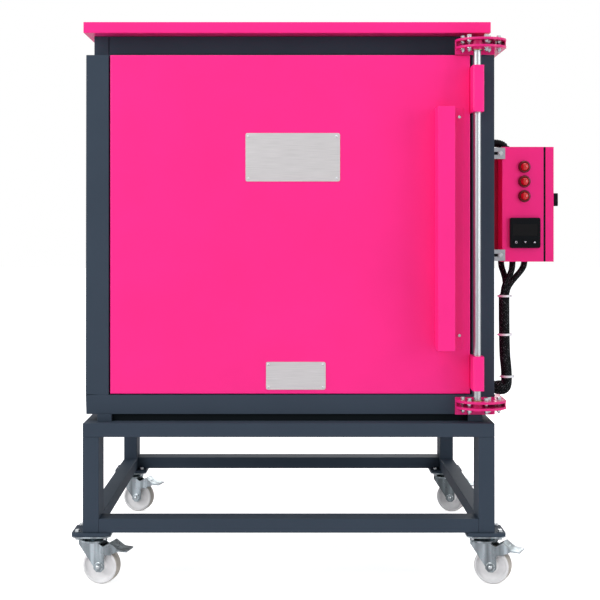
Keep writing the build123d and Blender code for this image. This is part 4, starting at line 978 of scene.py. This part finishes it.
# %% Conduit
body_side, lead_y = 443, 345.0
lead_reach, bend_from, lead_rise = 82, 58, 11.7
lead_run = np.linspace(0, lead_reach, 165)
lead_bend = np.clip((lead_run - bend_from) / (lead_reach - bend_from), 0, 1)
lead_up = box_top + lead_rise * np.sqrt(1 - lead_bend ** 2)
lead_line = np.column_stack([body_side + lead_run, np.full(165, lead_y), lead_up]) - drawing_zero
waves = 9.4 + 0.6 * np.cos(lead_run * 2 * pi / 3.2)
lead_tube = tube(lead_line, waves[:, None], 32, [0, 1, 0])
lead = piece("corrugated_conduit", lead_tube, black_plastic, "kiln", crisp=180)
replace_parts(lead, "sensor_conduit")
nut_profile = [(0, 0), (12.6, 0), (12.6, 4), (11.4, 5.2), (0, 5.2)]
lead_nut = copies(spun(nut_profile, 6), drawn([body_side + lead_reach, lead_y, box_top]))
piece("conduit_nut", lead_nut, black_plastic, "kiln", 0.4)

# %% [markdown]
# ## Heating wire
#
# The elements are wound from thick wire into a long coil that lies in the grooves of the
# bricks. The coil is a circle carried along the groove, and the wire is a square tube
# round that circle. The straight tails go out through the back.

# %% Coils
def coil(line, radius, pitch):
    """A helix round the line: one turn for each pitch, out from the line by radius times (cos, sin)."""
    per_turn = 8
    whole = length_so_far(line)[-1]
    n = int(whole / pitch * per_turn)
    middle = points_at(line, np.linspace(0, whole, n))
    ahead = np.gradient(middle, axis=0)
    side, other = cross_axes(middle, np.array([0.31, 0.11, 0.17]))
    a = np.arange(n)[:, None] * 2 * pi / per_turn
    return middle + radius * (np.cos(a) * side + np.sin(a) * other), ahead


def wound(points):
    """Wire 2.4 mm thick wound into a coil of 5 mm radius along a line with small bends."""
    groove = bent(np.array(points, float) - drawing_zero, reach=9, step=2)
    helix, ahead = coil(groove, radius=5, pitch=4.5)
    return tube(helix, 1.2, 4, ahead)


def there_and_back(heights, near_end, far_end):
    """Runs at each height that join in pairs at their far ends: up one and back along the next."""
    pairs = zip(heights[::2], heights[1::2])
    return [[[*near_end, low], [*far_end, low], [*far_end, high], [*near_end, high]] for low, high in pairs]


def plain_wires(lines):
    """Plain wire 5 mm thick along each line."""
    return together(*(tube(line, 2.5, 10, [0, 0, 1]) for line in lines))


def straight_tails(x, heights, low_y):
    """Plain wires from the ends of the coils, one at each height, out through the back."""
    lines = [np.linspace((x, low_y, z), (x, 812.5, z), 4) - drawing_zero for z in heights]
    return plain_wires(lines)


trial_coil = coil(np.array([[0, 0, 0], [45, 0, 0]], float), radius=5, pitch=4.5)[0]
print("a coil 45 mm long has", len(trial_coil), "points")

# %% The chamber's coils
side_heights = (595, 675, 755, 835, 915, 995)
back_heights = (625, 738.3, 851.7, 965)
side_back, side_front = 657.5, 220
for side, x in (("left", -300), ("right", 308)):
    side_runs = there_and_back(side_heights, (x, side_back), (x, side_front))
    wires = together(*(wound(run) for run in side_runs), straight_tails(x, side_heights, side_back))
    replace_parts(piece("coils_" + side, wires, heating_wire, "kiln"), "wall_elements")
back_left, back_right, back_y = -258, 236, 669.5
back_runs = there_and_back(back_heights, (back_right, back_y), (back_left, back_y))
back_tails = straight_tails(back_right, back_heights, back_y)
back_wires = together(*(wound(run) for run in back_runs), back_tails)
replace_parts(piece("coils_back", back_wires, heating_wire, "kiln"), "wall_elements")

# %% [markdown]
# The door's coils lie in the brick plug behind the door. Their tails run forward through
# the plug, sideways inside the door's shell, and forward again into the terminal cover.

# %% The door's coils
door_left, door_right, door_coil_y = -258, 266, 178
board_y, cover_x, cover_y = 51, 342.25, 0.5
door_runs = there_and_back(back_heights, (door_right, door_coil_y), (door_left, door_coil_y))
tail_routes = [
    [(door_right, door_coil_y, z), (door_right, board_y, z), (cover_x, board_y, z), (cover_x, cover_y, z)]
    for z in back_heights
]
door_tails = plain_wires([bent(np.array(route) - drawing_zero, reach=8, step=4) for route in tail_routes])
door_wires = together(*(wound(run) for run in door_runs), door_tails)
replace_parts(piece("coils_door", door_wires, heating_wire, "door"), "door_element")

# %% [markdown]
# ## Control box
#
# The controller gets its dark window and three plain marks on its keys: a ring, a
# triangle down and a triangle up. The lock gets its barrel, the angle brackets their
# bolts, and the seam of the box a thin black gasket, drawn wide enough to stand also for painted shade in
# the seam's groove.

# %% Window and marks
window = facing(lifted(rounded_outline(59.4, 39.6, 1.5), 0, 0.5), "-y")
piece("display_window", copies(window, drawn([564.5, 278, 782.3])), dark_glass, "kiln")
pale_mark = moulded("pale_mark", (0.62, 0.66, 0.70), 0.5, grain=3000)
mark_thick = 0.12
ring_mark = spun([(1.9, 0), (2.8, 0), (2.8, mark_thick), (1.9, mark_thick), (1.9, 0)], 24)
down_mark = lifted([(-2.8, 1.8), (0, -2.3), (2.8, 1.8)], 0, mark_thick)
up_mark = lifted([(-2.8, -1.8), (2.8, -1.8), (0, 2.3)], 0, mark_thick)
marks = {"key_set": (542.5, ring_mark), "key_down": (564.5, down_mark), "key_up": (586.5, up_mark)}
for key, (x, mark) in marks.items():
    mark_shape = copies(facing(mark, "-y"), drawn([x, 276, 747.5]))
    piece(key + "_mark", mark_shape, pale_mark, key)

# %% [markdown]
# Three lamps sit in a row under the top of the box. Each is a ring with a rounded lip,
# and a lens that rises from it as a blunt dome.

# %% Lamp rings and lenses
ring_profile = [
    (0, 0), (14.5, 0), (14.5, 4.4), (13.9, 5.8), (12.4, 6.9),
    (10.8, 7.0), (9.9, 6.4), (9.4, 4.6), (0, 4.6),
]
lens_profile = [
    (0, 4.6), (9.3, 4.6), (9.3, 7.4), (8.9, 9.2), (7.6, 11.0), (5.4, 12.4), (2.8, 13.2), (0, 13.5),
]
first_lamp, lamp_pitch = 47.5, 35
lamp_spots = drawn([[563.3, box_front, box_top - first_lamp - lamp_pitch * k] for k in range(3)])
ring_shapes = copies(facing(spun(ring_profile, 48), "-y"), lamp_spots)
lens_shapes = copies(facing(spun(lens_profile, 48), "-y"), lamp_spots)
rings = piece("lamp_rings", ring_shapes, lamp_ring, "kiln")
lenses = piece("lamp_domes", lens_shapes, lamp_red, "kiln", crisp=50)
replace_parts(rings, "lamp_bezels")
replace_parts(lenses, "lamp_lenses")

# %% [markdown]
# One angle bracket holds the box at the top and one at the bottom. Each has a bolt and,
# beside it, a slot. A thin black piece behind the slot is painted shade for the dark gap seen through it.

# %% Bolts, slots, gasket and barrel
angle_heights = (959, 716.3)
angle_bolt = facing(hex_head(9, 4.4, 1.0), "-y")
angle_bolts = copies(angle_bolt, drawn([(506, 283, z) for z in angle_heights]))
piece("angle_bolts", angle_bolts, bright_zinc, "kiln")
# painted shade: a black piece behind each slot for the shadow seen through it
slot_shade = facing(lifted(rounded_outline(21, 8, 1), 0, 0.8), "-y")
slot_shades = copies(slot_shade, drawn([(496.2, box_front - 0.1, z) for z in angle_heights]))
piece("slot_shades", slot_shades, black_plastic, "kiln")
# gasket and painted shade: the black strip is wider than a gasket, to darken the seam's groove as its
# shadow would
gasket = facing(lifted(rounded_outline(4.4, 272.5, 0.4), 0, 0.3), "-y")
seam_middle = drawn([611.6, box_front + 0.1, (box_under + box_top) / 2])
piece("seam_gasket_and_shade", copies(gasket, seam_middle), black_plastic, "kiln")
barrel_profile = [(0, 0), (2.6, 0), (2.6, 0.2), (2.2, 0.4), (0.9, 0.4), (0.9, 0.1), (0, 0.1)]
barrel = copies(facing(spun(barrel_profile, 28), "-y"), drawn([641, 300, 847]))
piece("lock_barrel", barrel, dark_glass, "box_lock")

# %% [markdown]
# Inside the box each switching unit has a row of screws at both ends, and thick wires
# lead from them to the holes in the floor.

# %% Terminals and wires
units = ((362, 844.5), (413, 844.5), (362, 752.5))
first_screw, screw_pitch = 9, 13.5
wire_ends = [(y + first_screw + screw_pitch * k, z) for y, z in units for k in range(3)]
screw_spots = drawn([[557.4, y, z + up] for y, z in wire_ends for up in (9, 63)])
screws = copies(facing(cap_screw(3.4, 2.2), "x"), screw_spots)
piece("terminal_screws", screws, bright_zinc, "kiln")
wire_routes = [
    [(558.5, y, z + 9), (566, y, z - 2), (566, y * 0.35 + 240, z - 30), (548, 345, 735), (544, 342, 706)]
    for y, z in wire_ends
]
wire_lines = [smooth_line(np.array(route) - drawing_zero, 3) for route in wire_routes]
box_wires = together(*(tube(line, 1.9, 10, [0.4, 0.3, 0.1]) for line in wire_lines))
piece("box_wires", box_wires, black_plastic, "kiln")

# %% [markdown]
# ## The back
#
# Small screws hold the back skin to the frame, so it can come off over the terminals.

# %% Back screws
skin_back = 854
back_spots = [[x, skin_back, z] for x in (-425, -145, 145, 433) for z in (380, 1190)]
back_spots += [[x, skin_back, z] for x in (-425, 433) for z in (650, 920)]
back_screws = copies(facing(cap_screw(4, 2.4), "y"), drawn(back_spots))
piece("back_screws", back_screws, bright_zinc, "kiln")

# %% [markdown]
# ## The floor
#
# The floor is pale and keeps the kiln's shadow. It glows a little for the camera alone,
# so it runs into the white background without more light on the kiln.

# %% Floor
floor_finish = finish("pale_floor", (0.86, 0.86, 0.86), 0.9)
coloured(floor_finish, noise(floor_finish, 2), [(0.3, (0.85, 0.85, 0.85)), (0.7, (0.87, 0.87, 0.87))])
floor_net = floor_finish.node_tree
floor_rays = floor_net.nodes.new("ShaderNodeLightPath")
floor_glow = floor_net.nodes.new("ShaderNodeEmission")
floor_glow.inputs["Strength"].default_value = 0.70
floor_sum = floor_net.nodes.new("ShaderNodeAddShader")
floor_choice = floor_net.nodes.new("ShaderNodeMixShader")
floor_base = floor_net.nodes["Principled BSDF"].outputs[0]
floor_net.links.new(floor_base, floor_sum.inputs[0])
floor_net.links.new(floor_glow.outputs[0], floor_sum.inputs[1])
floor_net.links.new(floor_rays.outputs["Is Camera Ray"], floor_choice.inputs[0])
floor_net.links.new(floor_base, floor_choice.inputs[1])
floor_net.links.new(floor_sum.outputs[0], floor_choice.inputs[2])
floor_net.links.new(floor_choice.outputs[0], floor_net.nodes["Material Output"].inputs["Surface"])
half_floor = 20
floor_corners = [(x * half_floor, y * half_floor, 0) for x, y in ((-1, -1), (1, -1), (1, 1), (-1, 1))]
floor_mesh = bpy.data.meshes.new("floor")
floor_mesh.from_pydata(floor_corners, [], [(0, 1, 2, 3)])
floor_mesh.materials.append(floor_finish)
floor = bpy.data.objects.new("floor", floor_mesh)
bpy.context.scene.collection.objects.link(floor)
print("floor", 2 * half_floor, "m wide")
